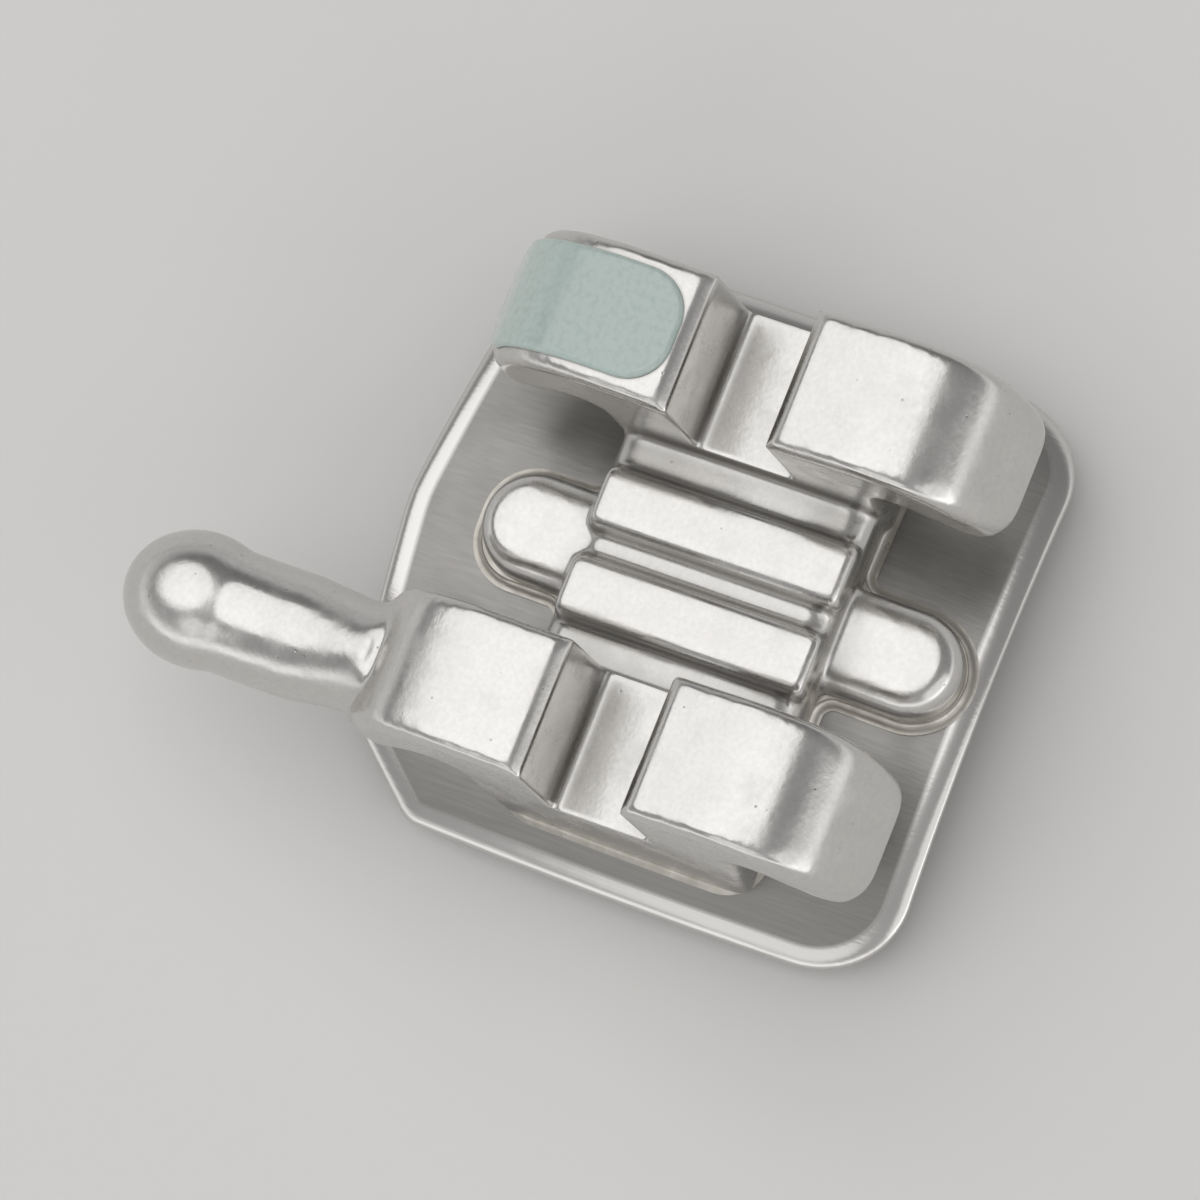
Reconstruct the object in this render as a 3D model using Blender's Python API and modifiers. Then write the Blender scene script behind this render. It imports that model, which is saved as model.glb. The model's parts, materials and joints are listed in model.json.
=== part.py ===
"""Orthodontic bracket for an upper first premolar, in metres.

A twin tie-wing bracket of moulded stainless steel with a ball hook, brazed to a bonding base
of thin foil and woven wire mesh that is pressed to the curve of the tooth.
+Z points away from the tooth, +Y towards the gum, and the archwire runs along X.
"""

import math

import bmesh
import bpy
from mathutils import Vector

MM = 0.001

# Archwire slot, the 0.022 by 0.028 inch size
SLOT_WIDTH = 0.56 * MM
SLOT_DEPTH = 0.71 * MM
SLOT_LEAD_IN = 0.05 * MM

# Tie wings, seen along the slot
WING_SPAN = 3.02 * MM
WING_WIDTH = 0.76 * MM
PAIR_SPACING = 2.00 * MM
WING_CROWN = 0.07 * MM
WING_CROWN_AT = 0.80 * MM
SHOULDER_DROP = 0.12 * MM
SHOULDER_INSET = 0.29 * MM
TIP_DROP = 0.75 * MM
TIP_INSET = 0.20 * MM
TIP_RISE = 0.10 * MM
TIP_ROUND = 0.09 * MM
CROWN_ROUND = 0.60 * MM
SHOULDER_ROUND = 0.50 * MM
WING_CORNER = 0.27 * MM
EDGE_ROUND = 0.05 * MM

# Stem under the wings, and the undercut that holds a ligature
STEM_WIDTH = 1.64 * MM
FOOT_WIDTH = 1.38 * MM
FOOT_ROUND = 0.20 * MM
FOOT_DROP = 0.84 * MM
UNDERCUT_HEIGHT = 0.34 * MM
UNDERCUT_ROUND = 0.12 * MM

# Saddle between the two pairs, and its two rails with the scribe line between them
SADDLE_DROP = 0.13 * MM
SADDLE_SETBACK = 0.03 * MM
SADDLE_ROUND = 0.16 * MM
RAIL_WIDTH = 0.36 * MM
RAIL_LENGTH = 1.42 * MM
RAIL_DROP = 0.03 * MM
RAIL_ROUND = 0.08 * MM
SCRIBE_WIDTH = 0.13 * MM

# Lobes of the foot, between the wings
LOBE_WIDTH = 0.56 * MM
LOBE_GUM_REACH = 1.26 * MM
LOBE_BITE_REACH = 1.38 * MM
LOBE_DROP = 0.24 * MM
LOBE_ROUND = 0.14 * MM

# Ball hook
HOOK_REACH = 2.80 * MM
HOOK_ROOT = 0.54 * MM
HOOK_NECK = 0.66 * MM
HOOK_BALL_WIDTH = 0.72 * MM
HOOK_BALL_LENGTH = 0.82 * MM
HOOK_BALL_THICKNESS = 0.70 * MM
HOOK_ROOT_HEIGHT = 0.34 * MM
HOOK_DIP = 0.10 * MM

# How the wings stand on the base
FLOOR_HEIGHT = 0.52 * MM
TORQUE = math.radians(7)

# Bonding base, measured flat before it is pressed to the tooth
BASE_WIDTH = 3.36 * MM
BASE_GUM_REACH = 1.75 * MM
BASE_BITE_REACH = 1.50 * MM
BASE_BITE_CORNER = 0.50 * MM
BASE_CHAMFER_WIDTH = 0.44 * MM
BASE_CHAMFER_LENGTH = 0.46 * MM
BASE_CHAMFER_ROUND = 0.16 * MM
BASE_GUM_BOW = 0.12 * MM
BASE_GUM_ROUND = 0.90 * MM
TOOTH_RADIUS_ACROSS = 4.00 * MM
TOOTH_RADIUS_ALONG = 12.0 * MM

# Rim of the base, coined down towards the tooth
RIM_WIDTH = 0.14 * MM
RIM_DROP = 0.04 * MM

# Layers of the base, and the hairline that parts each piece from the next
FOIL_THICKNESS = 0.08 * MM
BRAZE_THICKNESS = 0.05 * MM
BRAZE_SPREAD = 0.06 * MM
BRAZE_CORNER = 0.24 * MM
HAIRLINE = 0.006 * MM

# Woven mesh
MESH_PITCH = 0.44 * MM
MESH_WIRE = 0.15 * MM
MESH_CRIMP = 0.035 * MM
MESH_INSET = 0.05 * MM

# Enamel mark on one wing
MARK_THICKNESS = 0.03 * MM
MARK_MARGIN = 0.03 * MM
MARK_SLOT_MARGIN = 0.07 * MM
MARK_TIP_MARGIN = 0.09 * MM
MARK_CORNER = 0.24 * MM

# Fineness of the facets
ARC_STEP = math.radians(12)
EDGE_STEPS = 2
RIM_STEPS = 3
PRESS_STEPS = (0.22 * MM, 0.33 * MM)
WIRE_STEPS = 3
WIRE_ROUNDNESS = 1
NECK_STEPS = 4
SHARP_ANGLE = math.radians(35)
FLAT_ANGLE = math.radians(0.1)
BALL_SEGMENTS = 20
BALL_RINGS = 12
WELD = 0.0001 * MM
SNAP = 0.003 * MM
CUT_CLEARANCE = 0.4 * MM

# How an outline drawn in two directions stands in the bracket
SEEN_ALONG_SLOT = (math.pi / 2, 0, math.pi / 2)
SEEN_FROM_GUM = (math.pi / 2, 0, 0)
SEEN_FROM_ABOVE = (0, 0, 0)

LEFT = -1
RIGHT = 1
BITE = -1
GUM = 1


def clear_scene():
    """Take away whatever the file opened with."""
    for item in list(bpy.data.objects):
        bpy.data.objects.remove(item)


def new_collection(name):
    """A collection of that name in the scene."""
    group = bpy.data.collections.new(name)
    bpy.context.scene.collection.children.link(group)
    return group


def new_material(name, colour, roughness, metallic):
    """A Principled material of one colour."""
    material = bpy.data.materials.new(name)
    material.use_nodes = True
    shader = material.node_tree.nodes["Principled BSDF"]
    shader.inputs["Base Color"].default_value = (*colour, 1)
    shader.inputs["Roughness"].default_value = roughness
    shader.inputs["Metallic"].default_value = metallic
    return material


def new_frame(name, parent=None):
    """An empty that carries pieces."""
    frame = bpy.data.objects.new(name, None)
    frame.parent = parent
    bpy.context.scene.collection.objects.link(frame)
    return frame


def mirrored(half):
    """Corners of a whole outline from those of its right half, which runs from bottom to top."""
    return half + [(-u, v, radius) for u, v, radius in reversed(half)]


def rounded_outline(corners):
    """Points round a closed outline, each corner turned by an arc as large as its sides allow."""
    points = []
    for index, (u, v, radius) in enumerate(corners):
        corner = Vector((u, v))
        back = Vector(corners[index - 1][:2]) - corner
        onward = Vector(corners[(index + 1) % len(corners)][:2]) - corner
        half_angle = back.angle(onward) / 2
        setback = min(radius / math.tan(half_angle), back.length / 2, onward.length / 2)
        if setback <= WELD:
            points.append(corner)
            continue
        back.normalize()
        onward.normalize()
        centre = corner + (back + onward).normalized() * setback / math.cos(half_angle)
        first = corner + back * setback - centre
        last = corner + onward * setback - centre
        turn = first.angle_signed(last)
        steps = max(1, math.ceil(abs(turn) / ARC_STEP))
        for step in range(steps + 1):
            angle = turn * step / steps
            arm = Vector((
                first.x * math.cos(angle) + first.y * math.sin(angle),
                first.y * math.cos(angle) - first.x * math.sin(angle),
            ))
            points.append(centre + arm)
    return points


def grown(points, distance):
    """The outline moved outwards by a distance; it runs anticlockwise."""
    moved = []
    for index, point in enumerate(points):
        before = (point - points[index - 1]).normalized()
        after = (points[(index + 1) % len(points)] - point).normalized()
        tangent = (before + after).normalized()
        normal = Vector((tangent.y, -tangent.x))
        moved.append(point + normal * distance / tangent.dot(after))
    return moved


def as_mesh(shaped, name, group):
    """A mesh object with the evaluated shape and place of another object, which it replaces."""
    bpy.context.view_layer.update()
    evaluated = shaped.evaluated_get(bpy.context.evaluated_depsgraph_get())
    mesh = bpy.data.meshes.new_from_object(evaluated)
    work = bmesh.new()
    work.from_mesh(mesh)
    bmesh.ops.remove_doubles(work, verts=work.verts, dist=WELD)
    bmesh.ops.recalc_face_normals(work, faces=work.faces)
    work.to_mesh(mesh)
    work.free()
    solid = bpy.data.objects.new(name, mesh)
    solid.parent = shaped.parent
    solid.matrix_world = shaped.matrix_world
    group.objects.link(solid)
    bpy.data.objects.remove(shaped)
    return solid


def prism(name, points, thickness, group, frame, turned, place=(0, 0, 0), edge=0.0):
    """A closed outline extruded both ways by half a thickness, with its two rims rounded."""
    curve = bpy.data.curves.new(name, "CURVE")
    curve.dimensions = "2D"
    curve.fill_mode = "BOTH"
    curve.extrude = thickness / 2 - edge
    curve.bevel_depth = edge
    curve.bevel_resolution = EDGE_STEPS
    curve.offset = -edge
    spline = curve.splines.new("POLY")
    spline.points.add(len(points) - 1)
    for target, point in zip(spline.points, points):
        target.co = (point[0], point[1], 0, 1)
    spline.use_cyclic_u = True
    drawn = bpy.data.objects.new(name + "_outline", curve)
    drawn.rotation_euler = turned
    drawn.location = place
    drawn.parent = frame
    bpy.context.scene.collection.objects.link(drawn)
    return as_mesh(drawn, name, group)


def combine(piece, other, operation):
    """Join another mesh to a piece, cut it away, or keep what they share."""
    change = piece.modifiers.new(other.name, "BOOLEAN")
    change.operation = operation
    change.object = other
    change.solver = "EXACT"


def kept_within(piece, block, name, group):
    """What a piece and a block share; the block is used up."""
    combine(piece, block, "INTERSECT")
    kept = as_mesh(piece, name, group)
    bpy.data.objects.remove(block)
    return kept


def as_cutter(piece):
    """Show a mesh that only shapes others as a wire cage."""
    piece.display_type = "WIRE"
    piece.hide_render = True


def dress(piece, material):
    """Give a piece its material, and smooth its round faces."""
    piece.data.materials.clear()
    piece.data.materials.append(material)
    piece.data.shade_smooth()
    piece.data.set_sharp_from_angle(angle=SHARP_ANGLE)


def stem_side(side, height):
    """Where the stem's gum or bite side is at a height; the foot is centred over the base."""
    foot = side * FOOT_WIDTH / 2 + FLOOR_HEIGHT * math.tan(TORQUE)
    neck = side * STEM_WIDTH / 2
    share = (height + FOOT_DROP) / (UNDERCUT_HEIGHT + FOOT_DROP)
    return foot + (neck - foot) * share


def wing_outline():
    """A pair of tie wings on their stem, seen along the slot: the outline of a ram's horns."""
    half_span = WING_SPAN / 2
    top = SLOT_DEPTH
    right_half = [
        (STEM_WIDTH / 2, UNDERCUT_HEIGHT, UNDERCUT_ROUND),
        (half_span - TIP_INSET, top - TIP_DROP, TIP_ROUND),
        (half_span, top - TIP_DROP + TIP_RISE, TIP_ROUND),
        (half_span - SHOULDER_INSET, top - SHOULDER_DROP + WING_CROWN, SHOULDER_ROUND),
        (WING_CROWN_AT, top + WING_CROWN, CROWN_ROUND),
        (SLOT_WIDTH / 2, top, 0),
    ]
    gum_foot = (stem_side(GUM, -FOOT_DROP), -FOOT_DROP, FOOT_ROUND)
    bite_foot = (stem_side(BITE, -FOOT_DROP), -FOOT_DROP, FOOT_ROUND)
    return rounded_outline([gum_foot] + mirrored(right_half) + [bite_foot])


def rectangle(width, low, high, radius):
    """Corners of a rectangle that is centred across and runs from low to high."""
    return mirrored([(width / 2, low, radius), (width / 2, high, radius)])


def wing_pair(side, group, frame):
    """One pair of tie wings on its stem, with rounded tips."""
    centre = (side * PAIR_SPACING / 2, 0, 0)
    name = "left_wings" if side == LEFT else "right_wings"
    pair = prism(
        name + "_profile", wing_outline(), WING_WIDTH, group, frame, SEEN_ALONG_SLOT, centre, EDGE_ROUND,
    )
    plan = rounded_outline(rectangle(WING_WIDTH, -WING_SPAN / 2, WING_SPAN / 2, WING_CORNER))
    height = 2 * (SLOT_DEPTH + FOOT_DROP)
    trim = prism(name + "_plan", plan, height, group, frame, SEEN_FROM_ABOVE, centre)
    return kept_within(pair, trim, name, group)


def saddle(name, group, frame):
    """The block that joins the two pairs, a step below the slot's floor."""
    places = [
        (GUM, -FOOT_DROP, 0),
        (GUM, -SADDLE_DROP, SADDLE_ROUND),
        (BITE, -SADDLE_DROP, SADDLE_ROUND),
        (BITE, -FOOT_DROP, 0),
    ]
    outline = rounded_outline([
        (stem_side(side, height) - side * SADDLE_SETBACK, height, radius)
        for side, height, radius in places
    ])
    return prism(name, outline, PAIR_SPACING, group, frame, SEEN_ALONG_SLOT)


def saddle_rail(side, group, frame):
    """One of the two rails on the saddle; the scribe line is the groove between them."""
    centre = side * (SCRIBE_WIDTH + RAIL_WIDTH) / 2
    name = "left_rail" if side == LEFT else "right_rail"
    root = -SADDLE_DROP - SADDLE_ROUND / 2
    section = mirrored([(RAIL_WIDTH / 2, root, 0), (RAIL_WIDTH / 2, -RAIL_DROP, RAIL_ROUND)])
    place = (centre, 0, 0)
    return prism(
        name, rounded_outline(section), RAIL_LENGTH, group, frame, SEEN_FROM_GUM, place, EDGE_ROUND,
    )


def foot_lobes(group, frame):
    """The foot's lobes on the gum and bite sides, as one upright block with round ends."""
    depth = 2 * FOOT_DROP
    plan = rounded_outline(rectangle(LOBE_WIDTH, -LOBE_BITE_REACH, LOBE_GUM_REACH, LOBE_WIDTH / 2))
    place = (0, 0, FLOOR_HEIGHT - LOBE_DROP - depth / 2)
    return prism("foot_lobes", plan, depth, group, frame, SEEN_FROM_ABOVE, place, LOBE_ROUND)


def hook_neck(group, frame):
    """The neck of the hook, out of one wing tip to its ball."""
    curve = bpy.data.curves.new("hook_neck", "CURVE")
    curve.dimensions = "3D"
    curve.bevel_depth = HOOK_NECK / 2
    curve.bevel_resolution = NECK_STEPS
    curve.resolution_u = NECK_STEPS
    curve.use_fill_caps = True
    root = Vector((0, WING_SPAN / 2 - SHOULDER_INSET, HOOK_ROOT_HEIGHT))
    end = Vector((0, HOOK_REACH - HOOK_BALL_LENGTH / 2, HOOK_ROOT_HEIGHT - HOOK_DIP))
    middle = (root + end) / 2 - Vector((0, 0, HOOK_DIP))
    spline = curve.splines.new("BEZIER")
    spline.bezier_points.add(2)
    stations = [(root, HOOK_ROOT), (middle, HOOK_NECK), (end, HOOK_NECK)]
    for point, (place, width) in zip(spline.bezier_points, stations):
        point.co = place
        point.radius = width / HOOK_NECK
        point.handle_left_type = "AUTO"
        point.handle_right_type = "AUTO"
    drawn = bpy.data.objects.new("hook_neck_path", curve)
    drawn.location = (LEFT * PAIR_SPACING / 2, 0, 0)
    drawn.parent = frame
    bpy.context.scene.collection.objects.link(drawn)
    return as_mesh(drawn, "hook_neck", group)


def hook_ball(group, frame):
    """The flattened ball at the end of the hook."""
    bpy.ops.mesh.primitive_uv_sphere_add(segments=BALL_SEGMENTS, ring_count=BALL_RINGS, radius=0.5)
    ball = bpy.context.object
    ball.scale = (HOOK_BALL_WIDTH, HOOK_BALL_LENGTH, HOOK_BALL_THICKNESS)
    bpy.ops.object.transform_apply(scale=True)
    ball.parent = frame
    ball.location = (
        LEFT * PAIR_SPACING / 2,
        HOOK_REACH - HOOK_BALL_LENGTH / 2,
        HOOK_ROOT_HEIGHT - HOOK_DIP,
    )
    return as_mesh(ball, "hook_ball", group)


def slot_cutter(group, frame):
    """The archwire slot with a lead-in at its mouth, through both pairs of wings."""
    half_width = SLOT_WIDTH / 2
    mouth = WING_CROWN + CUT_CLEARANCE
    corners = mirrored([
        (half_width, 0, 0),
        (half_width, SLOT_DEPTH - SLOT_LEAD_IN, 0),
        (half_width + SLOT_LEAD_IN + mouth, SLOT_DEPTH + mouth, 0),
    ])
    length = PAIR_SPACING + WING_WIDTH + CUT_CLEARANCE
    return prism("slot_cutter", rounded_outline(corners), length, group, frame, SEEN_ALONG_SLOT)


def pressed_point(across, along, height):
    """Where a point of the flat base goes when the base is pressed to the tooth."""
    barrel = TOOTH_RADIUS_ALONG + height
    bow = along / TOOTH_RADIUS_ALONG
    radius = TOOTH_RADIUS_ACROSS - TOOTH_RADIUS_ALONG + barrel * math.cos(bow)
    turn = across / TOOTH_RADIUS_ACROSS
    return (
        radius * math.sin(turn),
        barrel * math.sin(bow),
        radius * math.cos(turn) - TOOTH_RADIUS_ACROSS,
    )


def press(piece):
    """Bend a flat piece to the curve of the tooth."""
    for vertex in piece.data.vertices:
        vertex.co = pressed_point(*vertex.co)
    return piece


def sliced(piece):
    """Cut the faces of a flat piece by a grid, fine enough for it to be pressed."""
    work = bmesh.new()
    work.from_mesh(piece.data)
    bmesh.ops.dissolve_limit(work, angle_limit=FLAT_ANGLE, verts=work.verts, edges=work.edges)
    for axis, step in enumerate(PRESS_STEPS):
        places = [vertex.co[axis] for vertex in work.verts]
        low, high = min(places), max(places)
        count = math.ceil((high - low) / step)
        normal = Vector((0, 0, 0))
        normal[axis] = 1
        for number in range(1, count):
            parts = work.verts[:] + work.edges[:] + work.faces[:]
            place = normal * (low + (high - low) * number / count)
            bmesh.ops.bisect_plane(work, geom=parts, dist=SNAP, plane_co=place, plane_no=normal)
    work.to_mesh(piece.data)
    work.free()
    return piece


def slab(name, top, thickness, group, frame):
    """A flat plate larger than the base."""
    bpy.ops.mesh.primitive_cube_add(size=1)
    plate = bpy.context.object
    lobe_reach = max(LOBE_GUM_REACH, LOBE_BITE_REACH) + BRAZE_SPREAD
    reach = max(BASE_GUM_REACH, BASE_BITE_REACH, lobe_reach)
    plate.scale = (BASE_WIDTH + CUT_CLEARANCE, 2 * reach + CUT_CLEARANCE, thickness)
    plate.location = (0, 0, top - thickness / 2)
    bpy.ops.object.transform_apply(location=True, scale=True)
    plate.parent = frame
    return as_mesh(plate, name, group)


def base_outline(inset):
    """The base's outline before pressing: chamfered towards the gum, round towards the bite."""
    half_width = BASE_WIDTH / 2 - inset
    gum = BASE_GUM_REACH - inset
    bite = BASE_BITE_REACH - inset
    shoulder = gum - BASE_GUM_BOW
    right_half = [
        (half_width, -bite, BASE_BITE_CORNER),
        (half_width, shoulder - BASE_CHAMFER_LENGTH, BASE_CHAMFER_ROUND),
        (half_width - BASE_CHAMFER_WIDTH, shoulder, BASE_CHAMFER_ROUND),
    ]
    left_half = [(-u, v, radius) for u, v, radius in reversed(right_half)]
    return rounded_outline(right_half + [(0, gum, BASE_GUM_ROUND)] + left_half)


def outline_block(name, outline, group, frame):
    """A deep block of an outline seen from above, to trim the layers of the base with."""
    depth = 4 * (FOIL_THICKNESS + BRAZE_THICKNESS + MESH_WIRE + MESH_CRIMP)
    return prism(name, outline, depth, group, frame, SEEN_FROM_ABOVE)


def coined_block(group, frame):
    """The space inside the blanking and coining die: the base's outline with a low, round rim."""
    flattening = RIM_DROP / RIM_WIDTH
    depth = 4 * FOIL_THICKNESS
    block = prism("coined_block", base_outline(0), depth / flattening, group, frame, SEEN_FROM_ABOVE)
    rim = block.modifiers.new("rim", "BEVEL")
    rim.width = RIM_WIDTH
    rim.segments = RIM_STEPS
    rim.limit_method = "ANGLE"
    rim.angle_limit = SHARP_ANGLE
    rim.use_clamp_overlap = False
    block.scale.z = flattening
    block.location.z = -depth / 2
    return block


def base_foil(group, frame):
    """The foil: blanked flat with its rim coined down, then pressed."""
    plate = slab("foil_plate", FOIL_THICKNESS, 2 * FOIL_THICKNESS, group, frame)
    return press(sliced(kept_within(plate, coined_block(group, frame), "base_foil", group)))


def wire_offsets(width):
    """Where the whole wires that a width holds lie, evenly about its middle."""
    count = int((width - MESH_WIRE) / MESH_PITCH) + 1
    return [(index - (count - 1) / 2) * MESH_PITCH for index in range(count)]


def wire_row(name, lines, crossings, level, turned, phase, group, frame):
    """Parallel crimped wires, each passing over and under the wires that it crosses."""
    curve = bpy.data.curves.new(name, "CURVE")
    curve.dimensions = "3D"
    curve.bevel_depth = MESH_WIRE / 2
    curve.bevel_resolution = WIRE_ROUNDNESS
    curve.use_fill_caps = True
    steps = (len(crossings) + 1) * WIRE_STEPS
    start = crossings[0] - MESH_PITCH
    for row, line in enumerate(lines):
        spline = curve.splines.new("POLY")
        spline.points.add(steps)
        for step, point in enumerate(spline.points):
            wave = math.cos(math.pi * (step / WIRE_STEPS + row)) * phase
            place = (start + step * MESH_PITCH / WIRE_STEPS, line)
            if turned:
                place = place[::-1]
            point.co = (*place, level + wave * MESH_CRIMP, 1)
    drawn = bpy.data.objects.new(name + "_paths", curve)
    drawn.parent = frame
    bpy.context.scene.collection.objects.link(drawn)
    return as_mesh(drawn, name, group)


def base_mesh(group, frame):
    """The woven mesh under the foil: two rows of wires sintered where they cross, trimmed and pressed."""
    middle = (BASE_GUM_REACH - BASE_BITE_REACH) / 2
    length = BASE_GUM_REACH + BASE_BITE_REACH - 2 * MESH_INSET
    across = wire_offsets(BASE_WIDTH - 2 * MESH_INSET)
    along = [middle + offset for offset in wire_offsets(length)]
    level = -FOIL_THICKNESS - HAIRLINE - MESH_WIRE / 2 - MESH_CRIMP
    warp = wire_row("mesh_warp", along, across, level, False, 1, group, frame)
    weft = wire_row("mesh_weft", across, along, level, True, -1, group, frame)
    combine(warp, weft, "UNION")
    woven = as_mesh(warp, "mesh_woven", group)
    bpy.data.objects.remove(weft)
    block = outline_block("mesh_block", base_outline(MESH_INSET), group, frame)
    return press(kept_within(woven, block, "base_mesh", group))


def braze_seam(group, frame):
    """The braze under the foot, which shows as a thin rim round it."""
    width = PAIR_SPACING + WING_WIDTH + 2 * BRAZE_SPREAD
    plate = slab("braze_plate", HAIRLINE + BRAZE_THICKNESS, BRAZE_THICKNESS, group, frame)
    reach = FOOT_WIDTH / 2 + BRAZE_SPREAD
    lobe = LOBE_WIDTH / 2 + BRAZE_SPREAD
    right_half = [
        (lobe, -LOBE_BITE_REACH - BRAZE_SPREAD, lobe),
        (lobe, -reach, BRAZE_SPREAD),
        (width / 2, -reach, BRAZE_CORNER),
        (width / 2, reach, BRAZE_CORNER),
        (lobe, reach, BRAZE_SPREAD),
        (lobe, LOBE_GUM_REACH + BRAZE_SPREAD, lobe),
    ]
    block = outline_block("braze_block", rounded_outline(mirrored(right_half)), group, frame)
    return press(sliced(kept_within(plate, block, "braze_seam", group)))


def form_cutter(group, frame):
    """Everything that the pressed base and its braze take up, as the body's foot is cut to it."""
    top = BRAZE_THICKNESS + 2 * HAIRLINE
    return press(sliced(slab("form_cutter", top, 2 * FOOT_DROP, group, frame)))


def bracket_body(parts, cutters, slot_frame, base_frame):
    """The moulded body: saddle, rails, two pairs of tie wings, foot lobes and hook as one piece."""
    body = saddle("bracket_body", parts, slot_frame)
    added = [
        saddle_rail(LEFT, cutters, slot_frame),
        saddle_rail(RIGHT, cutters, slot_frame),
        wing_pair(LEFT, cutters, slot_frame),
        wing_pair(RIGHT, cutters, slot_frame),
        foot_lobes(cutters, base_frame),
        hook_neck(cutters, slot_frame),
        hook_ball(cutters, slot_frame),
    ]
    removed = [
        slot_cutter(cutters, slot_frame),
        form_cutter(cutters, base_frame),
    ]
    for piece in added:
        combine(body, piece, "UNION")
        as_cutter(piece)
    for piece in removed:
        combine(body, piece, "DIFFERENCE")
        as_cutter(piece)
    return body


def id_mark(parts, cutters, slot_frame):
    """The enamel mark: a thin skin over the top of one gum-side wing, trimmed to a rounded patch."""
    outline = wing_outline()
    inner = grown(outline, HAIRLINE)
    outer = grown(outline, HAIRLINE + MARK_THICKNESS)
    tip = max(range(len(outline)), key=lambda index: outline[index].x)
    top_side = [index for index in range(tip, len(outline)) if outline[index].x > 0]
    band = [outer[index] for index in top_side] + [inner[index] for index in reversed(top_side)]
    width = WING_WIDTH - 2 * (EDGE_ROUND + MARK_MARGIN)
    place = (RIGHT * PAIR_SPACING / 2, 0, 0)
    skin = prism("mark_skin", band, width, cutters, slot_frame, SEEN_ALONG_SLOT, place)
    near = SLOT_WIDTH / 2 + MARK_SLOT_MARGIN
    far = WING_SPAN / 2 - MARK_TIP_MARGIN
    plan = rounded_outline(rectangle(width, near, far, MARK_CORNER))
    height = 2 * (SLOT_DEPTH + WING_CROWN + CUT_CLEARANCE)
    trim = prism("mark_plan", plan, height, cutters, slot_frame, SEEN_FROM_ABOVE, place)
    return kept_within(skin, trim, "id_mark", parts)


def stand_on_bench(frame, pieces):
    """Move the bracket so that the middle of its footprint on the bench is the origin."""
    bpy.context.view_layer.update()
    depsgraph = bpy.context.evaluated_depsgraph_get()
    corners = []
    for piece in pieces:
        evaluated = piece.evaluated_get(depsgraph)
        corners += [evaluated.matrix_world @ vertex.co for vertex in evaluated.data.vertices]
    low = [min(corner[axis] for corner in corners) for axis in range(3)]
    high = [max(corner[axis] for corner in corners) for axis in range(3)]
    frame.location = (-(low[0] + high[0]) / 2, -(low[1] + high[1]) / 2, -low[2])


def build_bracket():
    """Build every piece of the bracket, dress it and stand it on the bench."""
    clear_scene()
    parts = new_collection("orthodontic_bracket")
    cutters = new_collection("cutters")
    steel = new_material("moulded_steel", (0.62, 0.61, 0.60), 0.28, 1)
    foil = new_material("steel_foil", (0.60, 0.59, 0.58), 0.32, 1)
    wire = new_material("steel_wire", (0.56, 0.55, 0.54), 0.38, 1)
    braze = new_material("silver_braze", (0.66, 0.63, 0.57), 0.40, 1)
    enamel = new_material("green_enamel", (0.40, 0.58, 0.51), 0.35, 0)

    base_frame = new_frame("base_frame")
    slot_frame = new_frame("slot_frame", base_frame)
    slot_frame.location = (0, 0, FLOOR_HEIGHT)
    slot_frame.rotation_euler = (-TORQUE, 0, 0)

    pieces = {
        bracket_body(parts, cutters, slot_frame, base_frame): steel,
        braze_seam(parts, base_frame): braze,
        base_foil(parts, base_frame): foil,
        base_mesh(parts, base_frame): wire,
        id_mark(parts, cutters, slot_frame): enamel,
    }
    for piece, material in pieces.items():
        dress(piece, material)
    stand_on_bench(base_frame, pieces)


build_bracket()
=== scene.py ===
"""Looks of an orthodontic bracket: moulded twin tie wings with a ball hook on a foil and mesh base.

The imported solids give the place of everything. Each piece is built here once more, finer, in
millimetres in the frame of the bonding base, dressed in its finish, and shown in its solid's place.
"""

import json
import logging
import math
from dataclasses import dataclass, field
from enum import Enum
from typing import Any, Iterable

import bmesh
import bpy
import numpy as np
from mathutils import Matrix, Vector
from mathutils.bvhtree import BVHTree


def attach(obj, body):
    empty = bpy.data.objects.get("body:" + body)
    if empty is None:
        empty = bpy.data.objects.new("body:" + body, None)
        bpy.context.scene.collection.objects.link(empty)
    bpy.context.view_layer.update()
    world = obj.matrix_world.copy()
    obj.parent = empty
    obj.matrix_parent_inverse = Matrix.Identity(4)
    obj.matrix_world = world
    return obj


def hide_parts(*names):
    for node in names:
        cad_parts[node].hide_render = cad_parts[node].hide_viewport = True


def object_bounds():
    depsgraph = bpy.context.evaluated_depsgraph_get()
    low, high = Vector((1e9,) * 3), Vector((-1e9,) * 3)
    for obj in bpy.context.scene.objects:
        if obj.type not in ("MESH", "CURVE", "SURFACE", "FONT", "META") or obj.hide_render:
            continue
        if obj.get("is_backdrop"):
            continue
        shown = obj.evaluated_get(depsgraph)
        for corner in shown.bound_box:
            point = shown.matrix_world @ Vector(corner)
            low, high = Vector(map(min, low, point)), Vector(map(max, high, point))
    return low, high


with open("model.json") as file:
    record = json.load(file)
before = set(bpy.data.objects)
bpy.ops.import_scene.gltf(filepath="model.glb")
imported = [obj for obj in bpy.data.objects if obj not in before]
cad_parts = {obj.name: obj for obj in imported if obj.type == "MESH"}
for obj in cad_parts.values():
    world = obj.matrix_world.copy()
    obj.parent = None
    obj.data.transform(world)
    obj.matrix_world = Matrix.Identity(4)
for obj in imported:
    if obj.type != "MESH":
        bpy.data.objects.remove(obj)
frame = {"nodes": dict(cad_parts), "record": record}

LOG = logging.getLogger("bracket")

MM = 0.001
# Points of a mesh that lie nearer than this are welded; those of an outline, left out.
WELD_MM = 0.0001
DOUBLED_MM = 1e-6
# Faces that meet at more than this show a crease, such as where the foot is cut.
SHARP_ANGLE = math.radians(50)
# How far one pass of smoothing moves a point towards its neighbours.
SMOOTH_FACTOR = 0.5
BEVEL_STEPS = 3
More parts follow.
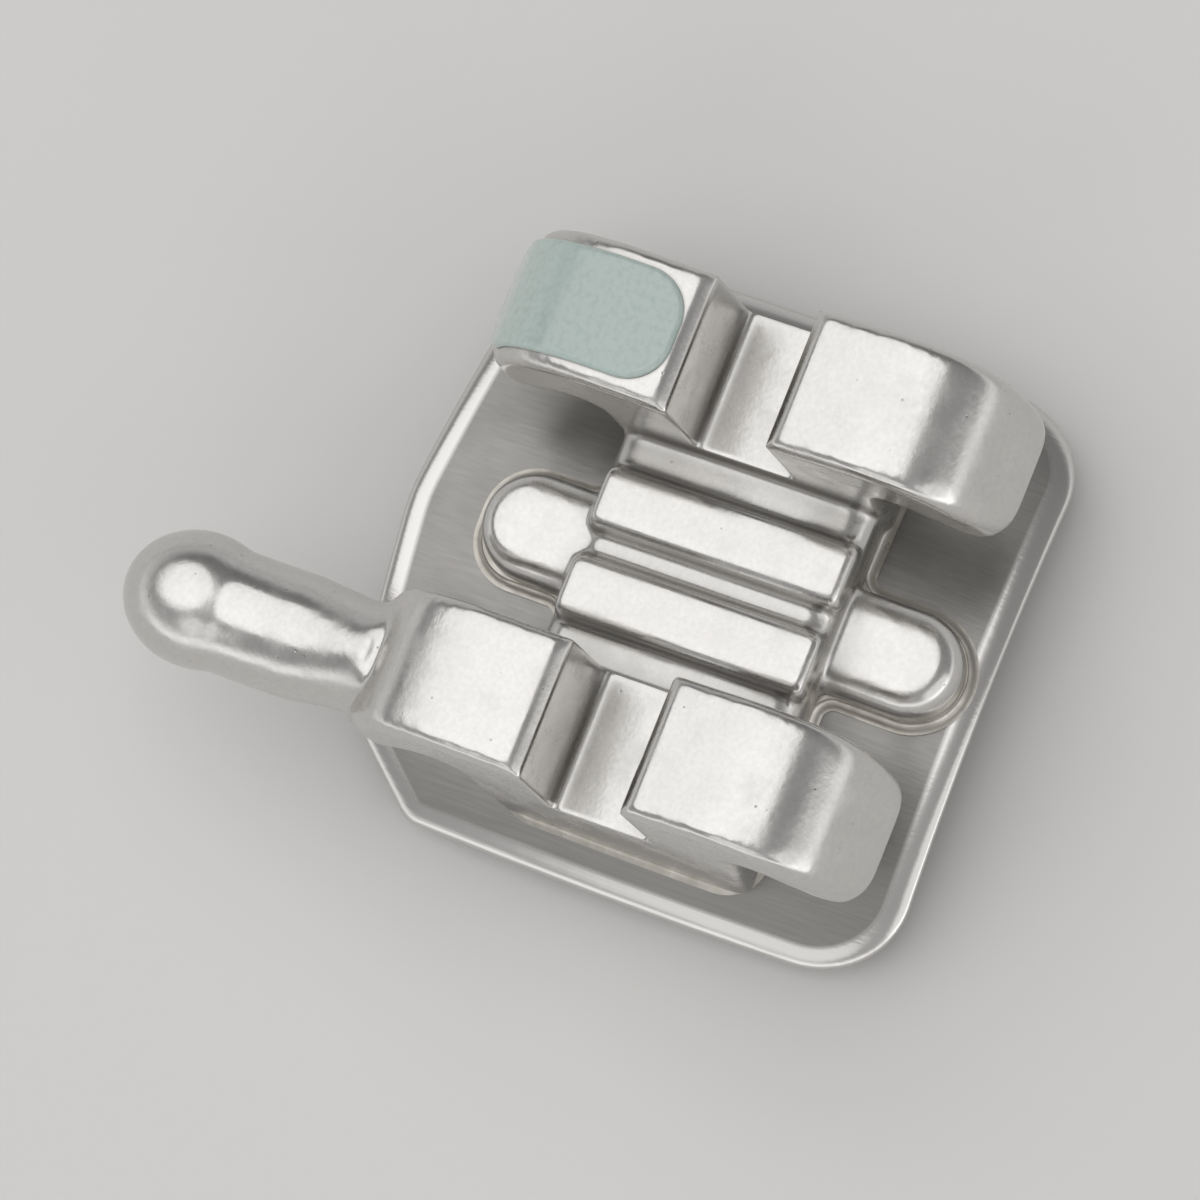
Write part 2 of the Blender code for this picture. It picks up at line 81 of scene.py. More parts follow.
# Grids and balls start one unit wide, which is drawn from half a unit.
HALF_UNIT = 0.5

# The Mix node's sockets for colours, which share their names with those for numbers.
MIX_SHARE, MIX_FIRST, MIX_SECOND, MIX_RESULT = 0, 6, 7, 2
# Nearly all of a noise texture's values lie between these two.
NOISE_LOW, NOISE_HIGH = 0.3, 0.7
# The rays with which a shader feels for a recess.
RECESS_RAYS = 8

Object = bpy.types.Object
Socket = bpy.types.NodeSocket
Tree = bpy.types.NodeTree
Corner = tuple[float, float, float]
Span = tuple[float, float]
Zone = tuple[Span, ...]
Outline = list[Vector]


class Side(Enum):
    """The two pairs of tie wings, by their place along the archwire."""

    LEFT = -1
    RIGHT = 1


class Towards(Enum):
    """The two sides of the slot, by the sign of Y."""

    GUM = 1
    BITE = -1


class Turned(Enum):
    """How an outline drawn in two directions stands in the bracket."""

    ALONG_SLOT = (math.pi / 2, 0, math.pi / 2)
    FROM_GUM = (math.pi / 2, 0, 0)
    FROM_ABOVE = (0, 0, 0)


class Change(Enum):
    """What a second solid does to a piece."""

    CUTS_AWAY = "DIFFERENCE"
    KEEPS_SHARED = "INTERSECT"


class Run(Enum):
    """The way that a wire of the mesh runs, by the number of its axis."""

    ALONG_SLOT = 0
    TO_GUM = 1


class Weave(Enum):
    """How the first wire of a set passes its first crossing."""

    OVER = 1
    UNDER = -1


def linear(code: str) -> tuple[float, float, float, float]:
    """Turn an sRGB hex colour into linear light.

    Args:
        code: Six hex digits after a hash, such as "#A9BDB6".

    Returns:
        Linear red, green and blue, and an alpha of 1.
    """
    channels = [int(code[place:place + 2], 16) / 255 for place in (1, 3, 5)]
    light = [c / 12.92 if c <= 0.04045 else ((c + 0.055) / 1.055) ** 2.4 for c in channels]
    return (*light, 1.0)


def feed(tree: Tree, node: bpy.types.Node, inputs: dict[str | int, Any]) -> None:
    """Give inputs of a node their values and links.

    Args:
        tree: The node tree that the node is in.
        node: The node.
        inputs: For each input, by name or number, a value, or the output socket it is linked to.
    """
    for key, value in inputs.items():
        if isinstance(value, Socket):
            tree.links.new(value, node.inputs[key])
        else:
            node.inputs[key].default_value = value


def add_node(
    tree: Tree, kind: str, inputs: dict[str | int, Any] | None = None, **settings: Any,
) -> bpy.types.Node:
    """Add a node with its settings, its values and its links.

    Args:
        tree: The node tree it goes into.
        kind: The node's type name.
        inputs: For each input, by name or number, a value, or the output socket it is linked to.
        **settings: Properties of the node itself.

    Returns:
        The new node.
    """
    node = tree.nodes.new(kind)
    for name, value in settings.items():
        setattr(node, name, value)
    feed(tree, node, inputs or {})
    return node


def per_mm(size: float) -> float:
    """Texture scale at which a pattern's features measure a size in millimetres."""
    return 1 / (size * MM)


@dataclass(frozen=True)
class Finish:
    """What all finishes share: a name, and a shader that their own patterns feed."""

    name: str

    def surface(self, tree: Tree, place: Socket) -> dict[str, Any]:
        """Lay the finish's patterns.

        Args:
            tree: The material's node tree.
            place: Where each point lies on the piece, in metres.

        Returns:
            A value or an output socket for each input of the shader that the finish sets.
        """
        raise NotImplementedError

    def material(self) -> bpy.types.Material:
        """Build the material.

        Returns:
            A material whose shader is fed by the finish's patterns.
        """
        made = bpy.data.materials.new(self.name)
        made.use_nodes = True
        tree = made.node_tree
        place = add_node(tree, "ShaderNodeTexCoord").outputs["Object"]
        feed(tree, tree.nodes["Principled BSDF"], self.surface(tree, place))
        return made


@dataclass(frozen=True)
class TumbledSteel(Finish):
    """Stainless steel, injection moulded, sintered and tumbled with fine media.

    Tumbling rounds every edge and leaves a bright, slightly soft gloss on the outer faces. It
    hardly reaches into the undercuts, which stay duller; their colour is darkened there too, as
    painted shade. Sintering leaves a fine grain and a few pinhole pores, whose pits are darkened
    as painted shade.
    """

    name: str = "tumbled_steel"
    bright: str = "#D6D4D1"
    # The grey that painted shade in recesses and pores, and the grain, mix towards.
    shade_and_grain: str = "#8E8C89"
    roughness: Span = (0.42, 0.19)
    polished_at: float = 0.6
    recess_mm: float = 0.30
    recess_range: Span = (0.30, 0.90)
    ripple_mm: float = 0.16
    ripple_depth_mm: float = 0.0009
    # The real grain is about a third of this: it is drawn coarser so that it shows.
    grain_mm: float = 0.028
    grain_depth_mm: float = 0.0006
    grain_shade: float = 0.86
    # Real pores are far smaller and closer: they are drawn coarser, so that a few show.
    pore_spacing_mm: float = 0.13
    pore_depth_mm: float = 0.0012
    pore_range: Span = (0.02, 0.07)
    pore_shade: float = 0.3

    def surface(self, tree: Tree, place: Socket) -> dict[str, Any]:
        """Lay tumbling ripples, sinter grain, pores and duller recesses, with painted shade in the
        recesses and pores.

        Args:
            tree: The material's node tree.
            place: Where each point lies on the piece, in metres.

        Returns:
            What feeds the shader.
        """
        ripple = add_node(tree, "ShaderNodeTexNoise", {
            "Vector": place, "Scale": per_mm(self.ripple_mm), "Detail": 2.0, "Roughness": 0.5,
        })
        grain = add_node(tree, "ShaderNodeTexNoise", {
            "Vector": place, "Scale": per_mm(self.grain_mm), "Detail": 3.0, "Roughness": 0.6,
        })
        pores = add_node(tree, "ShaderNodeTexVoronoi", {
            "Vector": place, "Scale": per_mm(self.pore_spacing_mm), "Randomness": 1.0,
        })
        # Where this finds a recess the steel stays rougher, and its colour is darkened as painted
        # shade.
        reach = add_node(tree, "ShaderNodeAmbientOcclusion", {
            "Distance": self.recess_mm * MM,
        }, samples=RECESS_RAYS)
        tumbled = add_node(tree, "ShaderNodeMapRange", {
            "Value": reach.outputs["AO"],
            "From Min": self.recess_range[0], "From Max": self.recess_range[1],
        })
        worn = add_node(tree, "ShaderNodeMath", {
            0: tumbled.outputs["Result"], 1: ripple.outputs["Fac"],
        }, operation="MULTIPLY")
        gloss = add_node(tree, "ShaderNodeMapRange", {
            "Value": worn.outputs["Value"], "From Max": self.polished_at,
            "To Min": self.roughness[0], "To Max": self.roughness[1],
        })
        # Each pore is darkened towards its middle: painted shade in its pit, also sunk by the bump
        # below.
        closed = add_node(tree, "ShaderNodeMapRange", {
            "Value": pores.outputs["Distance"],
            "From Min": self.pore_range[0], "From Max": self.pore_range[1],
            "To Min": self.pore_shade,
        })
        painted_shade = add_node(tree, "ShaderNodeMath", {
            0: tumbled.outputs["Result"], 1: closed.outputs["Result"],
        }, operation="MULTIPLY")
        shade = add_node(tree, "ShaderNodeMapRange", {
            "Value": grain.outputs["Fac"], "From Min": NOISE_LOW, "From Max": NOISE_HIGH,
            "To Min": self.grain_shade,
        })
        even = add_node(tree, "ShaderNodeMath", {
            0: painted_shade.outputs["Value"], 1: shade.outputs["Result"],
        }, operation="MULTIPLY")
        # Darker where painted shade lies in recesses and pores, and faintly with the grain.
        colour = add_node(tree, "ShaderNodeMix", {
            MIX_SHARE: even.outputs["Value"],
            MIX_FIRST: linear(self.shade_and_grain), MIX_SECOND: linear(self.bright),
        }, data_type="RGBA")
        coarse = add_node(tree, "ShaderNodeBump", {
            "Height": ripple.outputs["Fac"], "Distance": self.ripple_depth_mm * MM,
        })
        fine = add_node(tree, "ShaderNodeBump", {
            "Height": grain.outputs["Fac"], "Distance": self.grain_depth_mm * MM,
            "Normal": coarse.outputs["Normal"],
        })
        sunk = add_node(tree, "ShaderNodeBump", {
            "Height": closed.outputs["Result"], "Distance": self.pore_depth_mm * MM,
            "Normal": fine.outputs["Normal"],
        })
        return {
            "Metallic": 1.0,
            "Base Color": colour.outputs[MIX_RESULT],
            "Roughness": gloss.outputs["Result"],
            "Normal": sunk.outputs["Normal"],
        }


@dataclass(frozen=True)
class RolledFoil(Finish):
    """Stainless steel foil, rolled thin, annealed, blanked and pressed.

    Annealing leaves the sheet a dull grey with fine parallel rolling lines. The coining die
    burnishes its rim, which shines as a bright line round the base.
    """

    name: str = "rolled_foil"
    colour: str = "#9E9C99"
    streak: str = "#8B8986"
    burnished: str = "#D6D4D1"
    roughness: Span = (0.33, 0.45)
    burnished_roughness: float = 0.20
    # Real rolling lines are a few thousandths of a millimetre wide: drawn coarser, they show.
    line_mm: float = 0.018
    line_length_mm: float = 0.9
    line_depth_mm: float = 0.0007
    dimple_mm: float = 0.30
    dimple_depth_mm: float = 0.0016

    def surface(self, tree: Tree, place: Socket) -> dict[str, Any]:
        """Lay rolling lines towards the gum, faint dimples from the press and the bright rim.

        Args:
            tree: The material's node tree.
            place: Where each point lies on the piece, in metres.

        Returns:
            What feeds the shader.
        """
        across, along = per_mm(self.line_mm), per_mm(self.line_length_mm)
        stretched = add_node(tree, "ShaderNodeMapping", {
            "Vector": place, "Scale": (across, along, across),
        })
        lines = add_node(tree, "ShaderNodeTexNoise", {
            "Vector": stretched.outputs["Vector"], "Scale": 1.0, "Detail": 2.0,
        })
        dimples = add_node(tree, "ShaderNodeTexNoise", {
            "Vector": place, "Scale": per_mm(self.dimple_mm), "Detail": 2.0,
        })
        rim = add_node(tree, "ShaderNodeAttribute", attribute_name="burnished")
        sheet = add_node(tree, "ShaderNodeMix", {
            MIX_SHARE: lines.outputs["Fac"],
            MIX_FIRST: linear(self.streak), MIX_SECOND: linear(self.colour),
        }, data_type="RGBA")
        colour = add_node(tree, "ShaderNodeMix", {
            MIX_SHARE: rim.outputs["Fac"],
            MIX_FIRST: sheet.outputs[MIX_RESULT], MIX_SECOND: linear(self.burnished),
        }, data_type="RGBA")
        satin = add_node(tree, "ShaderNodeMapRange", {
            "Value": dimples.outputs["Fac"], "From Min": NOISE_LOW, "From Max": NOISE_HIGH,
            "To Min": self.roughness[0], "To Max": self.roughness[1],
        })
        gloss = add_node(tree, "ShaderNodeMapRange", {
            "Value": rim.outputs["Fac"],
            "To Min": satin.outputs["Result"], "To Max": self.burnished_roughness,
        })
        pressed = add_node(tree, "ShaderNodeBump", {
            "Height": dimples.outputs["Fac"], "Distance": self.dimple_depth_mm * MM,
        })
        rolled = add_node(tree, "ShaderNodeBump", {
            "Height": lines.outputs["Fac"], "Distance": self.line_depth_mm * MM,
            "Normal": pressed.outputs["Normal"],
        })
        return {
            "Metallic": 1.0,
            "Base Color": colour.outputs[MIX_RESULT],
            "Roughness": gloss.outputs["Result"],
            "Normal": rolled.outputs["Normal"],
        }


@dataclass(frozen=True)
class SinteredWire(Finish):
    """Stainless steel wire, drawn, woven and sintered to the foil in a furnace.

    The furnace dulls the drawn wire to an even pale grey with a fine frosted grain. Deep in the
    weave its colour is darkened as painted shade.
    """

    name: str = "sintered_wire"
    colour: str = "#C2C0BD"
    weave_shade: str = "#8F8D8A"
    roughness: Span = (0.30, 0.44)
    # Real frost is finer than this: it is drawn coarser so that it shows.
    frost_mm: float = 0.025
    frost_depth_mm: float = 0.0011
    recess_mm: float = 0.18

    def surface(self, tree: Tree, place: Socket) -> dict[str, Any]:
        """Lay the frosted grain and painted shade deep in the weave.

        Args:
            tree: The material's node tree.
            place: Where each point lies on the piece, in metres.

        Returns:
            What feeds the shader.
        """
        frost = add_node(tree, "ShaderNodeTexNoise", {
            "Vector": place, "Scale": per_mm(self.frost_mm), "Detail": 3.0, "Roughness": 0.6,
        })
        # Darkens the colour where the weave is deep: painted shade.
        reach = add_node(tree, "ShaderNodeAmbientOcclusion", {
            "Distance": self.recess_mm * MM,
        }, samples=RECESS_RAYS)
        colour = add_node(tree, "ShaderNodeMix", {
            MIX_SHARE: reach.outputs["AO"],
            MIX_FIRST: linear(self.weave_shade), MIX_SECOND: linear(self.colour),
        }, data_type="RGBA")
        gloss = add_node(tree, "ShaderNodeMapRange", {
            "Value": frost.outputs["Fac"], "From Min": NOISE_LOW, "From Max": NOISE_HIGH,
            "To Min": self.roughness[0], "To Max": self.roughness[1],
        })
        bump = add_node(tree, "ShaderNodeBump", {
            "Height": frost.outputs["Fac"], "Distance": self.frost_depth_mm * MM,
        })
        return {
            "Metallic": 1.0,
            "Base Color": colour.outputs[MIX_RESULT],
            "Roughness": gloss.outputs["Result"],
            "Normal": bump.outputs["Normal"],
        }


@dataclass(frozen=True)
class SilverBraze(Finish):
    """Silver braze, melted in the furnace and drawn into the seam.

    It sets with a smooth, faintly warm skin that is a little uneven where it stopped flowing.
    """

    name: str = "silver_braze"
    colour: str = "#CBC7BF"
    edge: str = "#9D9991"
    roughness: Span = (0.40, 0.26)
    flow_mm: float = 0.10
    flow_depth_mm: float = 0.004

    def surface(self, tree: Tree, place: Socket) -> dict[str, Any]:
        """Lay the flowed, lumpy skin, shinier where it stands higher.

        Args:
            tree: The material's node tree.
            place: Where each point lies on the piece, in metres.

        Returns:
            What feeds the shader.
        """
        flow = add_node(tree, "ShaderNodeTexNoise", {
            "Vector": place, "Scale": per_mm(self.flow_mm), "Detail": 2.0,
        })
        colour = add_node(tree, "ShaderNodeMix", {
            MIX_SHARE: flow.outputs["Fac"],
            MIX_FIRST: linear(self.edge), MIX_SECOND: linear(self.colour),
        }, data_type="RGBA")
        gloss = add_node(tree, "ShaderNodeMapRange", {
            "Value": flow.outputs["Fac"], "From Min": NOISE_LOW, "From Max": NOISE_HIGH,
            "To Min": self.roughness[0], "To Max": self.roughness[1],
        })
        bump = add_node(tree, "ShaderNodeBump", {
            "Height": flow.outputs["Fac"], "Distance": self.flow_depth_mm * MM,
        })
        return {
            "Metallic": 1.0,
            "Base Color": colour.outputs[MIX_RESULT],
            "Roughness": gloss.outputs["Result"],
            "Normal": bump.outputs["Normal"],
        }


@dataclass(frozen=True)
class FiredEnamel(Finish):
    """Enamel paint, dabbed on and fired.

    A pale grey green colour under a glossy, slightly rippled skin, with fine specks of pigment.
    """

    name: str = "fired_enamel"
    colour: str = "#B3C1BC"
    speck: str = "#A9B8B2"
    roughness: float = 0.22
    coat_weight: float = 0.6
    coat_roughness: float = 0.06
    # Real pigment is finer than this: it is drawn coarser so that it shows.
    speck_mm: float = 0.035
    speck_range: Span = (0.30, 0.55)
    ripple_mm: float = 0.14
    ripple_depth_mm: float = 0.0022

    def surface(self, tree: Tree, place: Socket) -> dict[str, Any]:
        """Lay faint specks under a rippled coat.

        Args:
            tree: The material's node tree.
            place: Where each point lies on the piece, in metres.

        Returns:
            What feeds the shader.
        """
        specks = add_node(tree, "ShaderNodeTexNoise", {
            "Vector": place, "Scale": per_mm(self.speck_mm), "Detail": 2.0,
        })
        spread = add_node(tree, "ShaderNodeMapRange", {
            "Value": specks.outputs["Fac"],
            "From Min": self.speck_range[0], "From Max": self.speck_range[1],
        })
        colour = add_node(tree, "ShaderNodeMix", {
            MIX_SHARE: spread.outputs["Result"],
            MIX_FIRST: linear(self.speck), MIX_SECOND: linear(self.colour),
        }, data_type="RGBA")
        ripple = add_node(tree, "ShaderNodeTexNoise", {
            "Vector": place, "Scale": per_mm(self.ripple_mm), "Detail": 1.0,
        })
        bump = add_node(tree, "ShaderNodeBump", {
            "Height": ripple.outputs["Fac"], "Distance": self.ripple_depth_mm * MM,
        })
        return {
            "Base Color": colour.outputs[MIX_RESULT],
            "Roughness": self.roughness,
            "Normal": bump.outputs["Normal"],
            "Coat Weight": self.coat_weight,
            "Coat Roughness": self.coat_roughness,
            "Coat Normal": bump.outputs["Normal"],
        }


def mirrored(half: list[Corner]) -> list[Corner]:
    """Corners of a whole outline from those of its right half, which runs from bottom to top."""
    return half + [(-u, v, radius) for u, v, radius in reversed(half)]


def quarter_turn(steps: int) -> list[float]:
    """Evenly spaced angles from nothing to a quarter turn."""
    return [math.pi / 2 * number / steps for number in range(steps + 1)]


def neighbours(ring: list[Any]) -> Iterable[tuple[Any, Any, Any]]:
    """Each item of a closed ring, between the one before it and the one after it."""
    return zip(ring[-1:] + ring[:-1], ring, ring[1:] + ring[:1])


def rounded_outline(corners: list[Corner], step: float = math.radians(6)) -> Outline:
    """Turn each corner of a closed outline by an arc, as large as its sides allow.

    Args:
        corners: Two coordinates and a radius for each corner, anticlockwise.
        step: The largest angle between neighbouring points of an arc.

    Returns:
        The outline's points, anticlockwise, none of them doubled.
    """
    points: Outline = []
    for before, (u, v, radius), after in neighbours(corners):
        corner = Vector((u, v))
        back = Vector(before[:2]) - corner
        onward = Vector(after[:2]) - corner
        half_angle = back.angle(onward) / 2
        setback = min(radius / math.tan(half_angle), back.length / 2, onward.length / 2)
        if setback <= 0:
            points.append(corner)
            continue
        back.normalize()
        onward.normalize()
        centre = corner + (back + onward).normalized() * setback / math.cos(half_angle)
        first = corner + back * setback - centre
        turn = first.angle_signed(corner + onward * setback - centre)
        steps = max(1, math.ceil(abs(turn) / step))
        for number in range(steps + 1):
            angle = turn * number / steps
            cosine, sine = math.cos(angle), math.sin(angle)
            points.append(centre + Vector((
                first.x * cosine + first.y * sine, first.y * cosine - first.x * sine,
            )))
    return [
        point for before, point, _ in neighbours(points) if (point - before).length > DOUBLED_MM
    ]


def rectangle(width: float, low: float, high: float, radius: float) -> list[Corner]:
    """Corners of a rectangle that is centred across and runs from low to high."""
    return mirrored([(width / 2, low, radius), (width / 2, high, radius)])


def grown(outline: Outline, distance: float) -> Outline:
    """Move the sides of an outline outwards.

    Args:
        outline: The outline, anticlockwise.
        distance: How far they move; a negative one moves them inwards.

    Returns:
        The new outline, with as many points.
    """
    moved: Outline = []
    for before, point, after in neighbours(outline):
        arriving = (point - before).normalized()
        leaving = (after - point).normalized()
        tangent = (arriving + leaving).normalized()
        moved.append(point + Vector((tangent.y, -tangent.x)) * distance / tangent.dot(leaving))
    return moved


def refined(outline: Outline, length: float) -> Outline:
    """Divide the long sides of an outline evenly.

    Args:
        outline: The outline.
        length: The longest that a side may be.

    Returns:
        The outline with points added.
    """
    points: Outline = []
    for _, point, onward in neighbours(outline):
        pieces = max(1, math.ceil((onward - point).length / length))
        points += [point.lerp(onward, number / pieces) for number in range(pieces)]
    return points


def new_object(name: str, data: bpy.types.ID) -> Object:
    """Put a mesh, curve, lamp or camera into the scene.

    Args:
        name: The object's name.
        data: What it shows.

    Returns:
        The new object.
    """
    made = bpy.data.objects.new(name, data)
    bpy.context.scene.collection.objects.link(made)
    return made


def modify(piece: Object, kind: str, **settings: Any) -> None:
    """Add a modifier to a piece.

    Args:
        piece: The piece.
        kind: The modifier's type name.
        **settings: Properties of the modifier.
    """
    added = piece.modifiers.new(kind.lower(), kind)
    for name, value in settings.items():
        setattr(added, name, value)


def from_work(work: bmesh.types.BMesh, name: str) -> Object:
    """Turn an edited mesh into an object.

    Args:
        work: The edited mesh, which is used up.
        name: The object's name.

    Returns:
        The new object, with its faces pointing out.
    """
    bmesh.ops.recalc_face_normals(work, faces=work.faces)
    mesh = bpy.data.meshes.new(name)
    work.to_mesh(mesh)
    work.free()
    return new_object(name, mesh)


def evaluated_copy(shaped: Object, name: str, cutters: Iterable[Object] = ()) -> Object:
    """Apply an object's modifiers and place to a new mesh object, and remove the old one.

    Args:
        shaped: The object with modifiers, or a curve.
        name: The new object's name.
        cutters: Other objects that are used up by it.

    Returns:
        The new object, with its place in its vertices.
    """
    bpy.context.view_layer.update()
    evaluated = shaped.evaluated_get(bpy.context.evaluated_depsgraph_get())
    mesh = bpy.data.meshes.new_from_object(evaluated)
    mesh.transform(shaped.matrix_world)
    work = bmesh.new()
    work.from_mesh(mesh)
    bmesh.ops.remove_doubles(work, verts=work.verts, dist=WELD_MM)
    bmesh.ops.recalc_face_normals(work, faces=work.faces)
    work.to_mesh(mesh)
    work.free()
    for spent in (shaped, *cutters):
        bpy.data.objects.remove(spent)
    return new_object(name, mesh)


def prism(
    name: str, outline: Outline, thickness: float, turned: Turned,
    place: Corner = (0, 0, 0), edge: float = 0.0,
) -> Object:
    """Extrude a closed outline both ways by half a thickness and round its two rims.

    Args:
        name: The object's name.
        outline: The outline's points.
        thickness: The whole thickness.
        turned: How the outline stands.
        place: Where the outline's origin goes.
        edge: The radius of the rims.

    Returns:
        A closed mesh object.
    """
    curve = bpy.data.curves.new(name, "CURVE")
    curve.dimensions = "2D"
    curve.fill_mode = "BOTH"
    curve.extrude = thickness / 2 - edge
    curve.bevel_depth = edge
    curve.bevel_resolution = BEVEL_STEPS
    curve.offset = -edge
    spline = curve.splines.new("POLY")
    spline.points.add(len(outline) - 1)
    for target, point in zip(spline.points, outline):
        target.co = (point.x, point.y, 0, 1)
    spline.use_cyclic_u = True
    drawn = new_object(name + "_outline", curve)
    drawn.rotation_euler = turned.value
    drawn.location = place
    return evaluated_copy(drawn, name)


def combined(piece: Object, other: Object, change: Change, name: str) -> Object:
    """Change a piece by a second solid, and use up both.

    Args:
        piece: The piece.
        other: The second solid.
        change: What it does to the piece.
        name: The new object's name.

    Returns:
        The changed piece.
    """
    modify(piece, "BOOLEAN", operation=change.value, object=other, solver="EXACT")
    return evaluated_copy(piece, name, [other])


def joined(pieces: list[Object], name: str) -> Object:
    """Put several mesh objects into one, as they are, and use them up.

    Args:
        pieces: The objects.
        name: The new object's name.

    Returns:
        The new object.
    """
    work = bmesh.new()
    for piece in pieces:
        work.from_mesh(piece.data)
        bpy.data.objects.remove(piece)
    mesh = bpy.data.meshes.new(name)
    work.to_mesh(mesh)
    work.free()
    return new_object(name, mesh)


def fused(piece: Object, voxel: float, passes: int, name: str) -> Object:
    """Melt overlapping solids into one skin and soften its edges.

    Args:
        piece: One mesh that holds the overlapping solids.
        voxel: The grid that the skin is made on, in millimetres.
        passes: How many times the skin is smoothed.
        name: The new object's name.

    Returns:
        One closed, evenly meshed object.
    """
    modify(piece, "REMESH", mode="VOXEL", voxel_size=voxel)
    modify(piece, "SMOOTH", factor=SMOOTH_FACTOR, iterations=passes)
    return evaluated_copy(piece, name)


def close_rings(work: bmesh.types.BMesh, rings: list[list[bmesh.types.BMVert]]) -> None:
    """Lay faces between neighbouring rings of vertices, and a cap on the first and the last.

    Args:
        work: The mesh that the rings are in.
        rings: The rings in order, with as many vertices in each.
    """
    for lower, upper in zip(rings, rings[1:]):
        for number in range(len(lower)):
            onward = (number + 1) % len(lower)
            work.faces.new((lower[number], lower[onward], upper[onward], upper[number]))
    work.faces.new(rings[0])
    work.faces.new(rings[-1])


def swept(name: str, path: list[Vector], radii: list[float], sides: int) -> Object:
    """Sweep a circle of changing radius along a path that lies in a plane of constant x.

    Args:
        name: The object's name.
        path: The middle line's points.
        radii: The radius at each point.
        sides: How many sides the circle has.

    Returns:
        A closed tube.
    """
    work = bmesh.new()
    side = Vector((1, 0, 0))
    rings = []
    for index, (point, radius) in enumerate(zip(path, radii)):
        ahead = path[min(index + 1, len(path) - 1)]
        behind = path[max(index - 1, 0)]
        up = side.cross((ahead - behind).normalized())
        ring = []
        for number in range(sides):
            angle = 2 * math.pi * number / sides
            spoke = side * math.cos(angle) + up * math.sin(angle)
            ring.append(work.verts.new(point + spoke * radius))
        rings.append(ring)
    close_rings(work, rings)
    return from_work(work, name)


@dataclass(frozen=True)
class SlotPlace:
    """Where the archwire slot's floor lies over the bench, from the record's two slot mounts."""

    middle: Vector
    torque: float
    half_spacing: float

    @classmethod
    def from_record(cls, record: dict[str, Any]) -> "SlotPlace":
        """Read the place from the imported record.

        Args:
            record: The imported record.

        Returns:
            The slot's middle and half the spacing of the wing pairs, in millimetres, and its lean.
        """
        mounts = {mount["name"]: mount for mount in record["mounts"]}
        left = Vector(mounts["slot_floor_left"]["pos_m"]) / MM
        right = Vector(mounts["slot_floor_right"]["pos_m"]) / MM
        axis = mounts["slot_floor_left"]["axis"]
        return cls((left + right) / 2, math.atan2(axis[1], axis[2]), (right.x - left.x) / 2)

    def matrix(self) -> Matrix:
        """From the slot's own frame to the bench, in millimetres."""
        return Matrix.Translation(self.middle) @ Matrix.Rotation(-self.torque, 4, "X")


@dataclass(frozen=True)
class ToothForm:
    """The curve of the tooth that the base is pressed to, about the top of the foil's crown."""

    across: float = 4.00
    along: float = 12.0
    floor_height: float = 0.52

    def pressed(self, point: Vector) -> Vector:
        """Where a point goes when the flat base is pressed.

        Args:
            point: The point of the flat base.

        Returns:
            Its place in the pressed base.
        """
        barrel = self.along + point.z
        bow = point.y / self.along
        radius = self.across - self.along + barrel * math.cos(bow)
        turn = point.x / self.across
        return Vector((
            radius * math.sin(turn),
            barrel * math.sin(bow),
            radius * math.cos(turn) - self.across,
        ))

    def press(self, piece: Object) -> None:
        """Bend a flat piece to the tooth."""
        for vertex in piece.data.vertices:
            vertex.co = self.pressed(vertex.co)


@dataclass
class Bench:
    """What every sub-assembly needs to know: the slot's place and the tooth's curve."""

    slot: SlotPlace
    tooth: ToothForm

    def base_matrix(self) -> Matrix:
        """From the base's own frame, at the top of the foil's crown, to the bench."""
        return Matrix.Translation(self.slot.middle - Vector((0, 0, self.tooth.floor_height)))

    def lean(self) -> Matrix:
        """From the slot's own frame to the base's frame."""
        return self.base_matrix().inverted() @ self.slot.matrix()

    def foot_shift(self) -> float:
        """How far the leaning stem's foot moves to stand over the middle of the base."""
        return self.tooth.floor_height * math.tan(self.slot.torque)

    def shown(
        self, piece: Object, finish: Finish, node: str, record_slot: str,
        place: Matrix | None = None,
    ) -> Object:
        """Stand a piece on the bench in metres, dress it and show it for its solid.

        Args:
            piece: The piece, in millimetres in its own frame.
            finish: The finish that it is dressed in.
            node: The solid that it stands for.
            record_slot: The record's material slot; not used.
            place: From that frame to the bench, in millimetres, unless the frame is the base's.

        Returns:
            The same piece.
        """
        piece.data.transform(Matrix.Scale(MM, 4) @ (place or self.base_matrix()))
        piece.data.materials.clear()
        piece.data.materials.append(finish.material())
        piece.data.shade_smooth()
        piece.data.set_sharp_from_angle(angle=SHARP_ANGLE)
        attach(piece, "root")
        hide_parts(node)
        LOG.info("%s: %d faces, shown for %s", piece.name, len(piece.data.polygons), node)
        return piece


